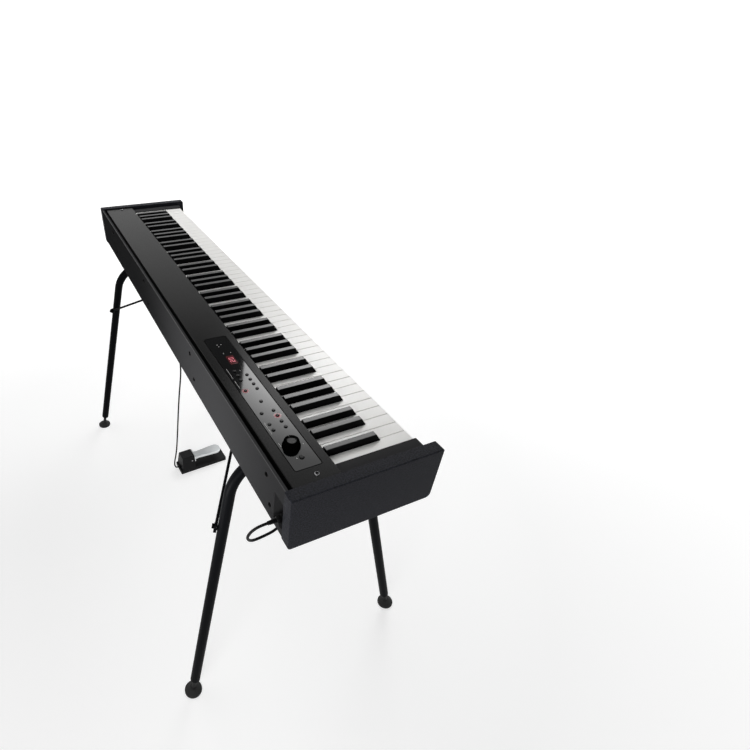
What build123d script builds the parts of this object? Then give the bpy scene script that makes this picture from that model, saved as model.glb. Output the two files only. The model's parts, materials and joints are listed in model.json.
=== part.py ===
"""Full-size digital piano on a bolted tube stand, with its damper pedal and lead.

Millimetres. X runs along the keys from bass to treble, Y from the player to the back, Z up.
The floor is Z = 0, and the origin is the middle of the footprint.
"""
import os
from math import asin, degrees, tan, radians

from build123d import *

# Case
STAND_HEIGHT = 633.0
PANEL_DEPTH = 80.0
END_BLOCK_WIDTH = 26.9
CHEEK_HEIGHT = 106.0
CHEEK_THICKNESS = 22.0
CHEEK_FRONT_ROUND = 10.0
CHEEK_REAR_ROUND = 6.0
CHEEK_TOP_ROUND = 3.0
CHEEK_EDGE_ROUND = 2.0
BOARD_LIFT = 3.0
BOARD_THICKNESS = 12.0
REAR_INSET = 2.0
REAR_THICKNESS = 5.0
REAR_TOP = 104.0
SLIP_INSET = 3.0
SLIP_THICKNESS = 12.0
SLIP_TOP = 72.0
SLIP_ROUND = 4.0
END_BLOCK_TOP = 96.0
END_BLOCK_ROUND = 2.0
TOP_PANEL_TOP = 103.0
TOP_PANEL_THICKNESS = 4.0
TOP_PANEL_LIP = 6.0
TOP_PANEL_ROUND = 2.0
REST_SLOT_WIDTH = 7.0
REST_SLOT_DEPTH = 15.0
REST_SLOT_FLOOR = 3.0
SEAT_GAP = 0.3

# Keys
KEY_PITCH = 23.6
KEY_GAP = 1.0
KEY_FRONT_GAP = 3.5
WHITE_COUNT = 52
WHITE_TOP = 93.4
WHITE_SHOWN = 149.5
WHITE_SKIRT_DEPTH = 10.0
WHITE_SKIRT_DROP = 6.0
WHITE_FRONT_ROUND = 1.6
BLACK_SETBACK = 51.0
BLACK_WIDTH = 13.6
BLACK_RISE = 11.5
BLACK_SIDE_TAPER = 1.8
BLACK_FRONT_SLOPE = 7.0
BLACK_REAR_GAP = 0.8
TAIL_STEP_GAP = 3.5
BLACK_ROUND = 1.0
PIVOT_FROM_SLOT = 13.0
KEY_DEPTH = 15.4
KEY_TAIL_HEIGHT = 10.0
KEY_TAIL_REACH = 8.0
KEY_DIP = 10.0
PIVOT_RADIUS = 3.0
PIVOT_CLEARANCE = 0.3
FRAME_END_GAP = 2.5
FRAME_SHEET = 3.0
FRAME_WALL = 4.0
FRONT_RAIL_WIDTH = 12.0
FELT_HEIGHT = 3.5
CONTACT_BOARD_WIDTH = 48.0
CONTACT_STRIP_WIDTH = 20.0
CONTACT_STRIP_HEIGHT = 8.0
CIRCUIT_BOARD = 1.6
STOP_CLEARANCE = 0.8

# Black keys of an octave: the white key on their left and how far they stand off the joint
BLACK_OFFSETS = {"C": -2.3, "D": 2.3, "F": -3.5, "G": 0.0, "A": 3.5}
NOTES = "ABCDEFG"

# Control panel
PLATE_LENGTH = 392.0
PLATE_WIDTH = 44.0
PLATE_FROM_END = 30.5
PLATE_OFF_MIDDLE = -1.0
PLATE_THICKNESS = 2.0
PLATE_SUNK = 0.2
PLATE_ROUND = 3.0
PLATE_LEDGE = 4.0
PLATE_CLEARANCE = 0.3
PLATE_GROOVE = 1.5
PLATE_GROOVE_DEPTH = 1.4
PANEL_BOARD_DROP = 11.0
PANEL_BOARD_MARGIN = 4.0
PANEL_POST_RADIUS = 2.0
PANEL_POST_INSET = 6.0
BUTTON_RADIUS = 3.0
BUTTON_PROUD = 1.8
BUTTON_ROUND = 1.0
BUTTON_TRAVEL = 0.8
BUTTON_CLEARANCE = 0.3
BUTTON_FLANGE = 1.2
BUTTON_FLANGE_HEIGHT = 1.0
BUTTON_PITCH = 15.0
SWITCH_SIZE = 6.0

# Places on the control plate: along it from its bass end, and off its middle towards the back
FRONT_ROW = -9.5
REAR_ROW = 12.0
VOICE_ALONG = 250.0
EFFECT_ALONG = 139.0
DISPLAY_KEYS_ALONG = 268.0
DISPLAY_KEYS_OFF = 6.8
SETTING_PLACES = ((206.0, REAR_ROW), (169.0, -0.7))
TEMPO_STEPS = (0, 2, 3)
POWER_ALONG = 22.5
POWER_OFF = -0.3
POWER_RADIUS = 4.0
DISPLAY_ALONG = 306.0
DISPLAY_OFF = -3.0
DISPLAY_LENGTH = 30.0
DISPLAY_WIDTH = 15.0
KNOB_ALONG = 50.6
KNOB_OFF = 2.8
KNOB_BASE_RADIUS = 14.6
KNOB_GRIP_RADIUS = 14.2
KNOB_TOP_RADIUS = 11.7
KNOB_HEIGHT = 11.2
KNOB_SKIRT = 1.6
KNOB_DISH_RADIUS = 7.6
KNOB_DISH_DEPTH = 1.2
KNOB_FLUTES = 20
KNOB_FLUTE_RADIUS = 1.3
KNOB_FLUTE_START = 0.6
KNOB_LIFT = 0.6
KNOB_CROWN = 2.0
SHAFT_RADIUS = 3.0
SHAFT_CLEARANCE = 0.3
SHAFT_FLOOR = 3.0
POT_SIZE = 13.0
POT_HEIGHT = 5.5
POT_BUSH_RADIUS = 4.4

# Connections at the back of the bass end
BAY_WIDTH = 32.0
BAY_DEPTH = 27.0
BAY_HEIGHT = 55.0
BAY_WALL = 2.0
JACK_RADIUS = 3.3
JACK_BUSH_RADIUS = 4.8
JACK_NUT_RADIUS = 7.0
JACK_NUT_HEIGHT = 3.0
JACK_BODY = 13.0
JACK_BODY_LENGTH = 24.0
JACK_FIRST = 11.0
JACK_PITCH = 17.0
JACK_COUNT = 3
PLUG_RADIUS = 3.15
PLUG_BARREL_RADIUS = 6.0
PLUG_BARREL_LENGTH = 32.0
PLUG_SLEEVE_LENGTH = 14.0
SLEEVE_STEP = 2.0
SLEEVE_WALL = 1.0
MAIN_BOARD_LENGTH = 180.0
MAIN_BOARD_HEIGHT = 52.0
MAIN_BOARD_FROM_END = 80.5
MAIN_BOARD_POST = 5.0

# Screws and bolts
SCREW_HEAD_RADIUS = 4.0
SCREW_HEAD_HEIGHT = 2.0
SCREW_RADIUS = 1.6
SCREW_CLEARANCE = 0.2
REAR_SCREW_BASS_GAP = 60.5
REAR_SCREW_TREBLE_GAP = 146.5
REAR_SCREW_SHIFT = 15.0
REAR_SCREW_HIGH = 82.0
REAR_SCREW_LOW = 30.0
REAR_SCREW_COUNT = 4
TOP_SCREW_FROM_END = 14.0
TOP_SCREW_FROM_EDGE = 35.0
BOLT_RADIUS = 2.5
BOLT_HEAD_RADIUS = 5.0
BOLT_HEAD_HEIGHT = 4.0
BOLT_BITE = 9.0

# Stand
TUBE_RADIUS = 11.0
TUBE_WALL = 2.0
LEG_FROM_END = 184.7
LEG_FROM_BACK = 0.7
LEG_LEAN = 0.11
LEG_SPLAY = 0.23
LEG_BEND = 80.0
LEG_END_HEIGHT = 42.0
LEG_BUSH_LENGTH = 25.0
BRACKET_THICKNESS = 4.0
BRACKET_WIDTH = 60.0
BRACKET_LENGTH = 150.0
BRACKET_BOLT_X = 22.0
BRACKET_BOLT_Y = 62.0
FOOT_RADIUS = 20.0
FOOT_RIM = 6.0
FOOT_HEIGHT = 15.0
FOOT_NECK = 8.0
STEM_RADIUS = 5.0
STEM_CLEARANCE = 0.3
STEM_REACH = 16.0
ROD_RADIUS = 3.0
ROD_LUG_RADIUS = 7.0
ROD_DROP = 138.5
ROD_TAIL = 12.0
ROD_REACH = 212.8
ROD_TOP_Y = 19.0
ROD_FLAT = 14.0
ROD_BEND = 20.0
ROD_SEAT = 0.2
LUG_COVER = 0.4

# Pedal
PEDAL_X = 189.0
PEDAL_Y = 5.0
PEDAL_TURN = 2.8
PEDAL_LENGTH = 164.0
PEDAL_WIDTH = 55.0
PEDAL_BASE_HEIGHT = 12.0
PEDAL_BASE_ROUND = 2.5
PEDAL_BLOCK_INSET = 6.0
PEDAL_BLOCK_LENGTH = 52.0
PEDAL_BLOCK_HEIGHT = 60.0
PEDAL_BLOCK_TOP_WIDTH = 38.0
PEDAL_BLOCK_LEAN = 5.0
PEDAL_TOP_ROUND = 2.0
PEDAL_SLOT_HEIGHT = 20.0
PEDAL_SLOT_DEPTH = 18.0
PIN_HEIGHT = 41.0
PIN_INSET = 9.0
PIN_RADIUS = 2.5
PIN_FIT = 0.3
TREAD_SHOULDER = 34.0
TREAD_WAIST = 28.0
TREAD_TIP_WIDTH = 38.0
TREAD_LENGTH = 109.0
TREAD_THICKNESS = 3.0
TREAD_FLANGE = 5.0
TREAD_KNUCKLE = 5.0
SHIELD_THICKNESS = 2.5
SHIELD_GAP = 1.0
SHIELD_RISE = 17.0
GLAND_RADIUS = 4.2
GLAND_HEIGHT = 13.0
GLAND_LENGTH = 1.0

# Pedal lead: a chosen route in three parts, from the plug to the pedal
CORD_RADIUS = 2.3
CORD_LEAD = 9.2
CORD_FOLD = 7.5
CORD_UNDER_GAP = 4.8
CORD_FROM_BACK = 18.5
CORD_WANDER = 0.5
CORD_UNDER_RUNS = 12
CORD_UNDER_END = 103.9
CLIP_RUNS = (0, 5, 10)
CLIP_WIDTH = 10.0
CLIP_WALL = 1.2
CLIP_CLEARANCE = 1.2

# The loop behind the plug, off the end of its sleeve
PLUG_LOOP = (
    (0.5, 20.2, -3),
    (1.5, 28.2, -10.5),
    (3.5, 31.2, -21),
    (5.5, 28.2, -31.5),
    (7.5, 20.7, -39),
    (10, 10.2, -42.5),
    (12.5, -4.3, -44.5),
    (15.5, -20.3, -45.5),
    (22.5, -35.3, -45),
    (34.5, -46.3, -42.5),
    (51.5, -50.3, -39),
    (71.5, -49.3, -35),
    (94.5, -44.3, -31.5),
)

# The free fall to the pedal: off the pedal's gland in X and Y, and as a share of the board's height
CORD_FALL = (
    (-70.9, 16.1, 0.986),
    (-47.9, 11.1, 0.961),
    (-35.9, 2.1, 0.92),
    (-27.9, -9.9, 0.866),
    (-21.9, -23.9, 0.799),
    (-18.9, -35.9, 0.725),
    (-13.9, -37.9, 0.645),
    (-6.9, -32.9, 0.563),
    (-0.9, -26.9, 0.48),
    (3.1, -20.9, 0.392),
    (5.6, -14.9, 0.3),
    (7.6, -8.9, 0.215),
    (10.1, -3.9, 0.145),
)

# The fold behind the pedal, off its gland
PEDAL_FOLD = ((11.6, 0.1, 53), (11.1, 5.1, 32), (8.1, 10.1, 17), (4.6, 11.1, 4))

# Places worked out from the sizes above
keys_left = -WHITE_COUNT * KEY_PITCH / 2
inner_x = END_BLOCK_WIDTH - keys_left
case_front = SLIP_INSET + SLIP_THICKNESS + KEY_FRONT_GAP
case_back = REST_SLOT_WIDTH + REAR_THICKNESS + REAR_INSET
body_depth = case_front + WHITE_SHOWN + PANEL_DEPTH + case_back
rear_y = body_depth / 2
board_bottom = STAND_HEIGHT + BOARD_LIFT
board_top = board_bottom + BOARD_THICKNESS
rear_face = rear_y - REAR_INSET
rear_inside = rear_face - REAR_THICKNESS
slip_front = -rear_y + SLIP_INSET
slip_back = slip_front + SLIP_THICKNESS
key_front = slip_back + KEY_FRONT_GAP
panel_edge = key_front + WHITE_SHOWN
panel_rear = rear_inside - REST_SLOT_WIDTH
panel_top = STAND_HEIGHT + TOP_PANEL_TOP
panel_under = panel_top - TOP_PANEL_THICKNESS
white_top = STAND_HEIGHT + WHITE_TOP
key_under = white_top - KEY_DEPTH
pivot_y = panel_rear - PIVOT_FROM_SLOT
tail_step = panel_edge + TAIL_STEP_GAP
tail_end = pivot_y + KEY_TAIL_REACH
tail_top = key_under + KEY_TAIL_HEIGHT
black_front = key_front + BLACK_SETBACK
black_rear = panel_edge - BLACK_REAR_GAP
key_angle = degrees(asin(KEY_DIP / (pivot_y - key_front)))
frame_end = inner_x - BAY_WIDTH - BAY_WALL - FRAME_END_GAP
plate_left = -inner_x + PLATE_FROM_END
plate_x = plate_left + PLATE_LENGTH / 2
plate_y = (panel_edge + panel_rear) / 2 + PLATE_OFF_MIDDLE
knob_x = plate_left + KNOB_ALONG
knob_y = plate_y + KNOB_OFF
display_x = plate_left + DISPLAY_ALONG
display_y = plate_y + DISPLAY_OFF
main_board_x = -inner_x + MAIN_BOARD_FROM_END + MAIN_BOARD_LENGTH / 2
top_screw_x = inner_x - TOP_SCREW_FROM_END
top_screw_y = panel_edge + TOP_SCREW_FROM_EDGE
leg_top_x = inner_x - LEG_FROM_END
leg_top_y = rear_y - LEG_FROM_BACK
plate_top = panel_top - PLATE_SUNK
plate_under = plate_top - PLATE_THICKNESS
panel_board_top = panel_top - PANEL_BOARD_DROP
switch_top = plate_under - BUTTON_CLEARANCE - BUTTON_FLANGE_HEIGHT - BUTTON_TRAVEL - BUTTON_CLEARANCE
bay_bottom = board_top + BAY_WALL
bay_front = rear_inside - BAY_DEPTH
jack_x = -inner_x + BAY_WIDTH / 2
plug_z = bay_bottom + JACK_FIRST
tube_z = board_bottom - BRACKET_THICKNESS - TUBE_RADIUS
lug_thickness = 2 * (ROD_RADIUS + LUG_COVER)
pedal_place = Pos(PEDAL_X, PEDAL_Y, 0) * Rot(0, 0, PEDAL_TURN)


def block(x, y, z):
    """A box from its limits along X, Y and Z."""
    limits = (x, y, z)
    size = [high - low for low, high in limits]
    middle = [(high + low) / 2 for low, high in limits]
    return Pos(*middle) * Box(*size)


def drum(radius, start, end):
    """A round bar between two points."""
    axis = Vector(*end) - Vector(*start)
    return extrude(Plane(origin=start, z_dir=axis) * Circle(radius), axis.length)


def along_x(points, start, end):
    """An outline in Y and Z, drawn out along X."""
    outline = make_face(Polyline(*points, close=True))
    return Pos(start, 0, 0) * extrude(Plane.YZ * outline, end - start)


def whole(*pieces):
    """Pieces of one moulding or weldment, joined into a single solid."""
    joined = pieces[0]
    for piece in pieces[1:]:
        joined += piece
    return joined


def cut(solid, *tools):
    """A solid with other shapes taken out of it."""
    for tool in tools:
        solid -= tool
    return solid


def group(pieces):
    """Separate solids that share a node."""
    return Compound(children=[piece.solid() for piece in pieces])


def edges_at(solid, axis, value, along):
    """The straight edges of a solid that run along one axis at a place on another."""
    near = solid.edges().filter_by(along)
    return near.filter_by_position(axis, value - 0.01, value + 0.01)


# Case


def cheek(side):
    """One end cheek: a board with rounded corners, on the -1 bass or +1 treble end."""
    outline = Rectangle(body_depth, CHEEK_HEIGHT)
    corners = outline.vertices().sort_by(Axis.Y)
    low = corners[:2].sort_by(Axis.X)
    outline = fillet(low[0], CHEEK_FRONT_ROUND)
    rear_low = outline.vertices().sort_by(Axis.Y)[:4].sort_by(Axis.X)[-1]
    outline = fillet(rear_low, CHEEK_REAR_ROUND)
    outline = fillet(outline.vertices().sort_by(Axis.Y)[-2:], CHEEK_TOP_ROUND)
    board = extrude(Plane.YZ * (Pos(0, STAND_HEIGHT + CHEEK_HEIGHT / 2) * outline), CHEEK_THICKNESS)
    board = Pos(inner_x if side > 0 else -inner_x - CHEEK_THICKNESS, 0, 0) * board
    outer = board.faces().sort_by(Axis.X)[-1 if side > 0 else 0]
    return fillet(outer.edges(), CHEEK_EDGE_ROUND)


def bottom_board():
    """The board that carries the keys, drilled for the stand's bolts."""
    board = block((-inner_x, inner_x), (slip_back, rear_inside), (board_bottom, board_top))
    for x, y in bracket_bolt_places() + lug_places():
        hole = drum(BOLT_RADIUS + SCREW_CLEARANCE, (x, y, board_bottom), (x, y, board_bottom + BOLT_BITE + 1))
        board -= hole
    return board


def rear_screw_places():
    """X and Z of the screws in the rear panel: one row high, one low and set over."""
    places = []
    first = -inner_x + REAR_SCREW_BASS_GAP
    pitch = (inner_x - REAR_SCREW_TREBLE_GAP - first) / (REAR_SCREW_COUNT - 1)
    for step in range(REAR_SCREW_COUNT):
        x = first + step * pitch
        places.append((x, STAND_HEIGHT + REAR_SCREW_HIGH))
        places.append((x - REAR_SCREW_SHIFT, STAND_HEIGHT + REAR_SCREW_LOW))
    return places


def rear_panel():
    """The back of the case, with the floor of the rest's slot and the notch for the connections."""
    top = STAND_HEIGHT + REAR_TOP
    slot_floor = top - REST_SLOT_DEPTH
    plate = block((-inner_x, inner_x), (rear_inside, rear_face), (board_bottom, top))
    plate = fillet(edges_at(plate, Axis.Y, rear_face, Axis.X).sort_by(Axis.Z)[-1], REAR_THICKNESS / 4)
    ledge = block(
        (-inner_x, inner_x),
        (panel_rear + SEAT_GAP, rear_inside),
        (slot_floor - REST_SLOT_FLOOR, slot_floor),
    )
    plate = whole(plate, ledge)
    notch_end = -inner_x + BAY_WIDTH
    plate -= block((-inner_x, notch_end), (rear_inside, rear_face), (bay_bottom, bay_bottom + BAY_HEIGHT))
    for x, z in main_board_posts():
        plate += drum(PANEL_POST_RADIUS, (x, rear_inside, z), (x, rear_inside - MAIN_BOARD_POST, z))
    for x, z in rear_screw_places():
        plate -= drum(SCREW_RADIUS + SCREW_CLEARANCE, (x, rear_inside, z), (x, rear_face, z))
    return plate


def top_panel():
    """The folded top cover between the cheeks, with a grooved pocket for the control plate."""
    sheet = TOP_PANEL_THICKNESS
    lip = panel_top - TOP_PANEL_LIP
    wall = STAND_HEIGHT + REAR_TOP - REST_SLOT_DEPTH - REST_SLOT_FLOOR
    cover = along_x(
        [
            (panel_edge, lip),
            (panel_edge, panel_top),
            (panel_rear, panel_top),
            (panel_rear, wall),
            (panel_rear - sheet, wall),
            (panel_rear - sheet, panel_under),
            (panel_edge + sheet, panel_under),
            (panel_edge + sheet, lip),
        ],
        -inner_x,
        inner_x,
    )
    top_edges = edges_at(cover, Axis.Z, panel_top, Axis.X)
    cover = fillet(top_edges, TOP_PANEL_ROUND)
    pocket = RectangleRounded(
        PLATE_LENGTH + 2 * PLATE_CLEARANCE,
        PLATE_WIDTH + 2 * PLATE_CLEARANCE,
        PLATE_ROUND + PLATE_CLEARANCE,
    )
    groove = RectangleRounded(
        PLATE_LENGTH + 2 * PLATE_GROOVE,
        PLATE_WIDTH + 2 * PLATE_GROOVE,
        PLATE_ROUND + PLATE_GROOVE,
    )
    window = RectangleRounded(PLATE_LENGTH - 2 * PLATE_LEDGE, PLATE_WIDTH - 2 * PLATE_LEDGE, PLATE_ROUND)
    cover -= extrude(Pos(plate_x, plate_y, plate_under) * pocket, panel_top - plate_under)
    cover -= extrude(Pos(plate_x, plate_y, panel_top - PLATE_GROOVE_DEPTH) * groove, PLATE_GROOVE_DEPTH)
    cover -= extrude(Pos(plate_x, plate_y, panel_under) * window, TOP_PANEL_THICKNESS)
    for x, y in panel_posts():
        cover += drum(PANEL_POST_RADIUS, (x, y, panel_under), (x, y, panel_board_top))
    for side in (-1, 1):
        x = side * top_screw_x
        ends = (x, top_screw_y, panel_under), (x, top_screw_y, panel_top)
        cover -= drum(SCREW_RADIUS + SCREW_CLEARANCE, *ends)
    return cover


def key_slip():
    """The rail below the front of the keys."""
    rail = block((-inner_x, inner_x), (slip_front, slip_back), (board_bottom, STAND_HEIGHT + SLIP_TOP))
    return fillet(edges_at(rail, Axis.Y, slip_front, Axis.X), SLIP_ROUND)


def end_block(side):
    """The filler between the last key and the cheek."""
    near = -keys_left + KEY_GAP / 2
    x = (near, inner_x) if side > 0 else (-inner_x, -near)
    filler = block(x, (slip_back, panel_edge), (board_top, STAND_HEIGHT + END_BLOCK_TOP))
    return fillet(edges_at(filler, Axis.Y, slip_back, Axis.X).sort_by(Axis.Z)[-1], END_BLOCK_ROUND)


# Keys


def black_left(white):
    """The left side of the black key that stands over the joint right of a white key."""
    note = NOTES[white % 7]
    joint = keys_left + (white + 1) * KEY_PITCH
    return joint + BLACK_OFFSETS[note] - BLACK_WIDTH / 2


def has_black(white):
    """Whether a black key stands between a white key and the next one up."""
    inside = 0 <= white < WHITE_COUNT - 1
    return inside and NOTES[white % 7] in BLACK_OFFSETS


def pivot_notch(left, right):
    """The round groove under a key's tail that sits on the frame's pivot rib."""
    radius = PIVOT_RADIUS + PIVOT_CLEARANCE
    return drum(radius, (left, pivot_y, key_under), (right, pivot_y, key_under))


def white_key(white):
    """A white key: a broad head, a narrow waist between the black keys, a low tail and a skirt."""
    left = keys_left + white * KEY_PITCH + KEY_GAP / 2
    right = left + KEY_PITCH - KEY_GAP
    waist_left = left
    waist_right = right
    if has_black(white - 1):
        waist_left = max(left, black_left(white - 1) + BLACK_WIDTH + KEY_GAP)
    if has_black(white):
        waist_right = min(right, black_left(white) - KEY_GAP)
    shoulder = black_front - KEY_GAP
    head = block((left, right), (key_front, shoulder), (key_under, white_top))
    waist = block((waist_left, waist_right), (shoulder, tail_step), (key_under, white_top))
    tail = block((waist_left, waist_right), (tail_step, tail_end), (key_under, tail_top))
    skirt_back = key_front + WHITE_SKIRT_DEPTH
    skirt = block((left, right), (key_front, skirt_back), (key_under - WHITE_SKIRT_DROP, key_under))
    key = cut(whole(head, waist, tail, skirt), pivot_notch(left, right))
    front_top = edges_at(key, Axis.Y, key_front, Axis.X).sort_by(Axis.Z)[-1]
    return fillet(front_top, WHITE_FRONT_ROUND)


def black_key(white):
    """A black key: a tapered cap with a sloping front on a body as deep as the white keys."""
    left = black_left(white)
    right = left + BLACK_WIDTH
    middle = (left + right) / 2
    length = black_rear - black_front
    top_length = length - BLACK_FRONT_SLOPE
    foot = Pos(middle, black_front + length / 2, white_top) * Rectangle(BLACK_WIDTH, length)
    crown = Rectangle(BLACK_WIDTH - 2 * BLACK_SIDE_TAPER, top_length)
    crown = Pos(middle, black_rear - top_length / 2, white_top + BLACK_RISE) * crown
    cap = loft([foot, crown])
    cap = fillet(cap.faces().sort_by(Axis.Z)[-1].edges(), BLACK_ROUND)
    body = block((left, right), (black_front, tail_step), (key_under, white_top))
    tail = block((left, right), (tail_step, tail_end), (key_under, tail_top))
    return cut(whole(body, cap, tail), pivot_notch(left, right))


def octave_of(white):
    """Octaves are counted as on a piano: they start at C, and the last C joins the one below."""
    return min((white + 5) // 7, 7)


def key_frame():
    """The long frame under the keys: base, front rail, ribs for the contact board, pivot rib."""
    sheet_top = board_top + FRAME_SHEET
    ends = (-frame_end, frame_end)
    base = block(ends, (rail_front, tail_end), (board_top, sheet_top))
    rail = block(ends, (rail_front, rail_front + FRONT_RAIL_WIDTH), (sheet_top, felt_under))
    half_board = CONTACT_BOARD_WIDTH / 2
    ribs = []
    for inner in (-half_board, half_board - FRAME_WALL):
        ribs.append(block(ends, (inner, inner + FRAME_WALL), (sheet_top, contact_board_under)))
    half_wall = FRAME_WALL / 2
    wall = block(ends, (pivot_y - half_wall, pivot_y + half_wall), (sheet_top, key_under))
    rib = drum(PIVOT_RADIUS, (-frame_end, pivot_y, key_under), (frame_end, pivot_y, key_under))
    return whole(base, rail, *ribs, wall, rib)


def drop_at(y):
    """How far the underside of a key goes down at a place along it, at the end of its travel."""
    return (pivot_y - y) * tan(radians(key_angle))


rail_front = key_front + KEY_FRONT_GAP
felt_top = key_under - WHITE_SKIRT_DROP - drop_at(key_front) - STOP_CLEARANCE
felt_under = felt_top - FELT_HEIGHT
strip_top = key_under - drop_at(-CONTACT_STRIP_WIDTH / 2) - STOP_CLEARANCE
contact_board_top = strip_top - CONTACT_STRIP_HEIGHT
contact_board_under = contact_board_top - CIRCUIT_BOARD


def key_felt():
    """The felt on the front rail that the keys land on."""
    return block((-frame_end, frame_end), (rail_front, rail_front + FRONT_RAIL_WIDTH), (felt_under, felt_top))


def key_contact_board():
    """The long circuit board under the keys."""
    half = CONTACT_BOARD_WIDTH / 2
    return block((-frame_end, frame_end), (-half, half), (contact_board_under, contact_board_top))


def contact_rubber():
    """The rubber strip of key contacts, arched in section."""
    half = CONTACT_STRIP_WIDTH / 2
    points = [
        (-half, contact_board_top),
        (-half / 2, strip_top),
        (half / 2, strip_top),
        (half, contact_board_top),
    ]
    return along_x(points, -frame_end, frame_end)


# Control panel


def on_plate(along, off):
    """X and Y of a place on the control plate."""
    return plate_left + along, plate_y + off


def row(first, off, steps):
    """Places of buttons along a row, counted away from the display."""
    return [on_plate(first - step * BUTTON_PITCH, off) for step in steps]


button_groups = {
    "display_buttons": row(DISPLAY_KEYS_ALONG, DISPLAY_KEYS_OFF, range(3)),
    "voice_buttons": row(VOICE_ALONG, FRONT_ROW, range(4)),
    "setting_buttons": [on_plate(*place) for place in SETTING_PLACES],
    "effect_buttons": row(EFFECT_ALONG, FRONT_ROW, range(4)),
    "tempo_buttons": row(EFFECT_ALONG, REAR_ROW, TEMPO_STEPS),
}
power_place = on_plate(POWER_ALONG, POWER_OFF)


def button(x, y, radius):
    """A push button: a round cap with a rounded top and a flange that holds it under the plate."""
    bottom = switch_top + BUTTON_TRAVEL + BUTTON_CLEARANCE
    flange_top = plate_under - BUTTON_CLEARANCE
    flange_bottom = flange_top - BUTTON_FLANGE_HEIGHT
    cap = drum(radius, (x, y, bottom), (x, y, plate_top + BUTTON_PROUD))
    cap = fillet(cap.edges().sort_by(Axis.Z)[-1], BUTTON_ROUND)
    return whole(cap, drum(radius + BUTTON_FLANGE, (x, y, flange_bottom), (x, y, flange_top)))


def all_buttons():
    """Every button's place and radius."""
    places = [(x, y, BUTTON_RADIUS) for group_places in button_groups.values() for x, y in group_places]
    return places + [(*power_place, POWER_RADIUS)]


def control_plate():
    """The inset plate, pierced for the buttons, the knob's bush and the display."""
    plate = extrude(
        Pos(plate_x, plate_y, plate_under) * RectangleRounded(PLATE_LENGTH, PLATE_WIDTH, PLATE_ROUND),
        PLATE_THICKNESS,
    )
    for x, y, radius in all_buttons():
        plate -= drum(radius + BUTTON_CLEARANCE, (x, y, plate_under), (x, y, plate_top))
    knob_ends = (knob_x, knob_y, plate_under), (knob_x, knob_y, plate_top)
    plate -= drum(POT_BUSH_RADIUS + BUTTON_CLEARANCE, *knob_ends)
    half_length = DISPLAY_LENGTH / 2
    half_width = DISPLAY_WIDTH / 2
    window_x = (display_x - half_length, display_x + half_length)
    window_y = (display_y - half_width, display_y + half_width)
    return plate - block(window_x, window_y, (plate_under, plate_top))


def led_display():
    """The display block, standing on the panel board and filling the plate's window."""
    half_length = DISPLAY_LENGTH / 2 - PLATE_CLEARANCE
    half_width = DISPLAY_WIDTH / 2 - PLATE_CLEARANCE
    x = (display_x - half_length, display_x + half_length)
    y = (display_y - half_width, display_y + half_width)
    return block(x, y, (panel_board_top, plate_top - PLATE_SUNK))


def panel_posts():
    """Places of the posts under the top panel that hold the panel board."""
    reach = PLATE_WIDTH / 2 + PLATE_CLEARANCE + PANEL_POST_RADIUS
    pitch = PLATE_LENGTH / 2 - PANEL_POST_INSET
    places = []
    for step in (-1, 0, 1):
        for side in (-1, 1):
            places.append((plate_x + step * pitch, plate_y + side * reach))
    return places


def panel_board():
    """The circuit board under the control plate."""
    half_length = PLATE_LENGTH / 2
    half_width = PLATE_WIDTH / 2 + PANEL_BOARD_MARGIN
    x = (plate_x - half_length, plate_x + half_length)
    y = (plate_y - half_width, plate_y + half_width)
    return block(x, y, (panel_board_top - CIRCUIT_BOARD, panel_board_top))


def tact_switches():
    """One switch on the panel board under each button."""
    half = SWITCH_SIZE / 2
    switches = []
    for x, y, _ in all_buttons():
        switches.append(block((x - half, x + half), (y - half, y + half), (panel_board_top, switch_top)))
    return group(switches)


def volume_pot():
    """The turning control's body and threaded bush, with a bore for its shaft."""
    half = POT_SIZE / 2
    body_top = panel_board_top + POT_HEIGHT
    body = block((knob_x - half, knob_x + half), (knob_y - half, knob_y + half), (panel_board_top, body_top))
    bush = drum(POT_BUSH_RADIUS, (knob_x, knob_y, body_top), (knob_x, knob_y, plate_top))
    bore = drum(SHAFT_RADIUS + SHAFT_CLEARANCE, (knob_x, knob_y, shaft_bottom), (knob_x, knob_y, plate_top))
    return cut(whole(body, bush), bore)


shaft_bottom = panel_board_top + SHAFT_FLOOR
shaft_top = plate_top + KNOB_LIFT + KNOB_HEIGHT - KNOB_DISH_DEPTH - KNOB_CROWN


def pot_shaft():
    """The shaft that the knob is pushed on."""
    return drum(SHAFT_RADIUS, (knob_x, knob_y, shaft_bottom + SHAFT_CLEARANCE), (knob_x, knob_y, shaft_top))


def volume_knob():
    """The fluted knob: a straight skirt, a tapering grip and a dished top, bored for the shaft."""
    bottom = plate_top + KNOB_LIFT
    top = bottom + KNOB_HEIGHT
    skirt = bottom + KNOB_SKIRT
    outline = make_face(
        Polyline(
            (0, bottom),
            (KNOB_BASE_RADIUS, bottom),
            (KNOB_BASE_RADIUS, skirt),
            (KNOB_GRIP_RADIUS, skirt),
            (KNOB_TOP_RADIUS, top),
            (KNOB_DISH_RADIUS, top),
            (KNOB_DISH_RADIUS - KNOB_DISH_DEPTH, top - KNOB_DISH_DEPTH),
            (0, top - KNOB_DISH_DEPTH),
            close=True,
        )
    )
    knob = revolve(Plane.XZ * outline, Axis.Z)
    flute_foot = (KNOB_GRIP_RADIUS + KNOB_FLUTE_START, 0, skirt + KNOB_FLUTE_START)
    flute_head = (KNOB_TOP_RADIUS + KNOB_FLUTE_START, 0, top + KNOB_LIFT)
    flute = drum(KNOB_FLUTE_RADIUS, flute_foot, flute_head)
    for step in range(KNOB_FLUTES):
        knob -= Rot(0, 0, 360 / KNOB_FLUTES * step) * flute
    knob -= drum(SHAFT_RADIUS, (0, 0, bottom), (0, 0, shaft_top))
    return Pos(knob_x, knob_y, 0) * knob


# Connections


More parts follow.
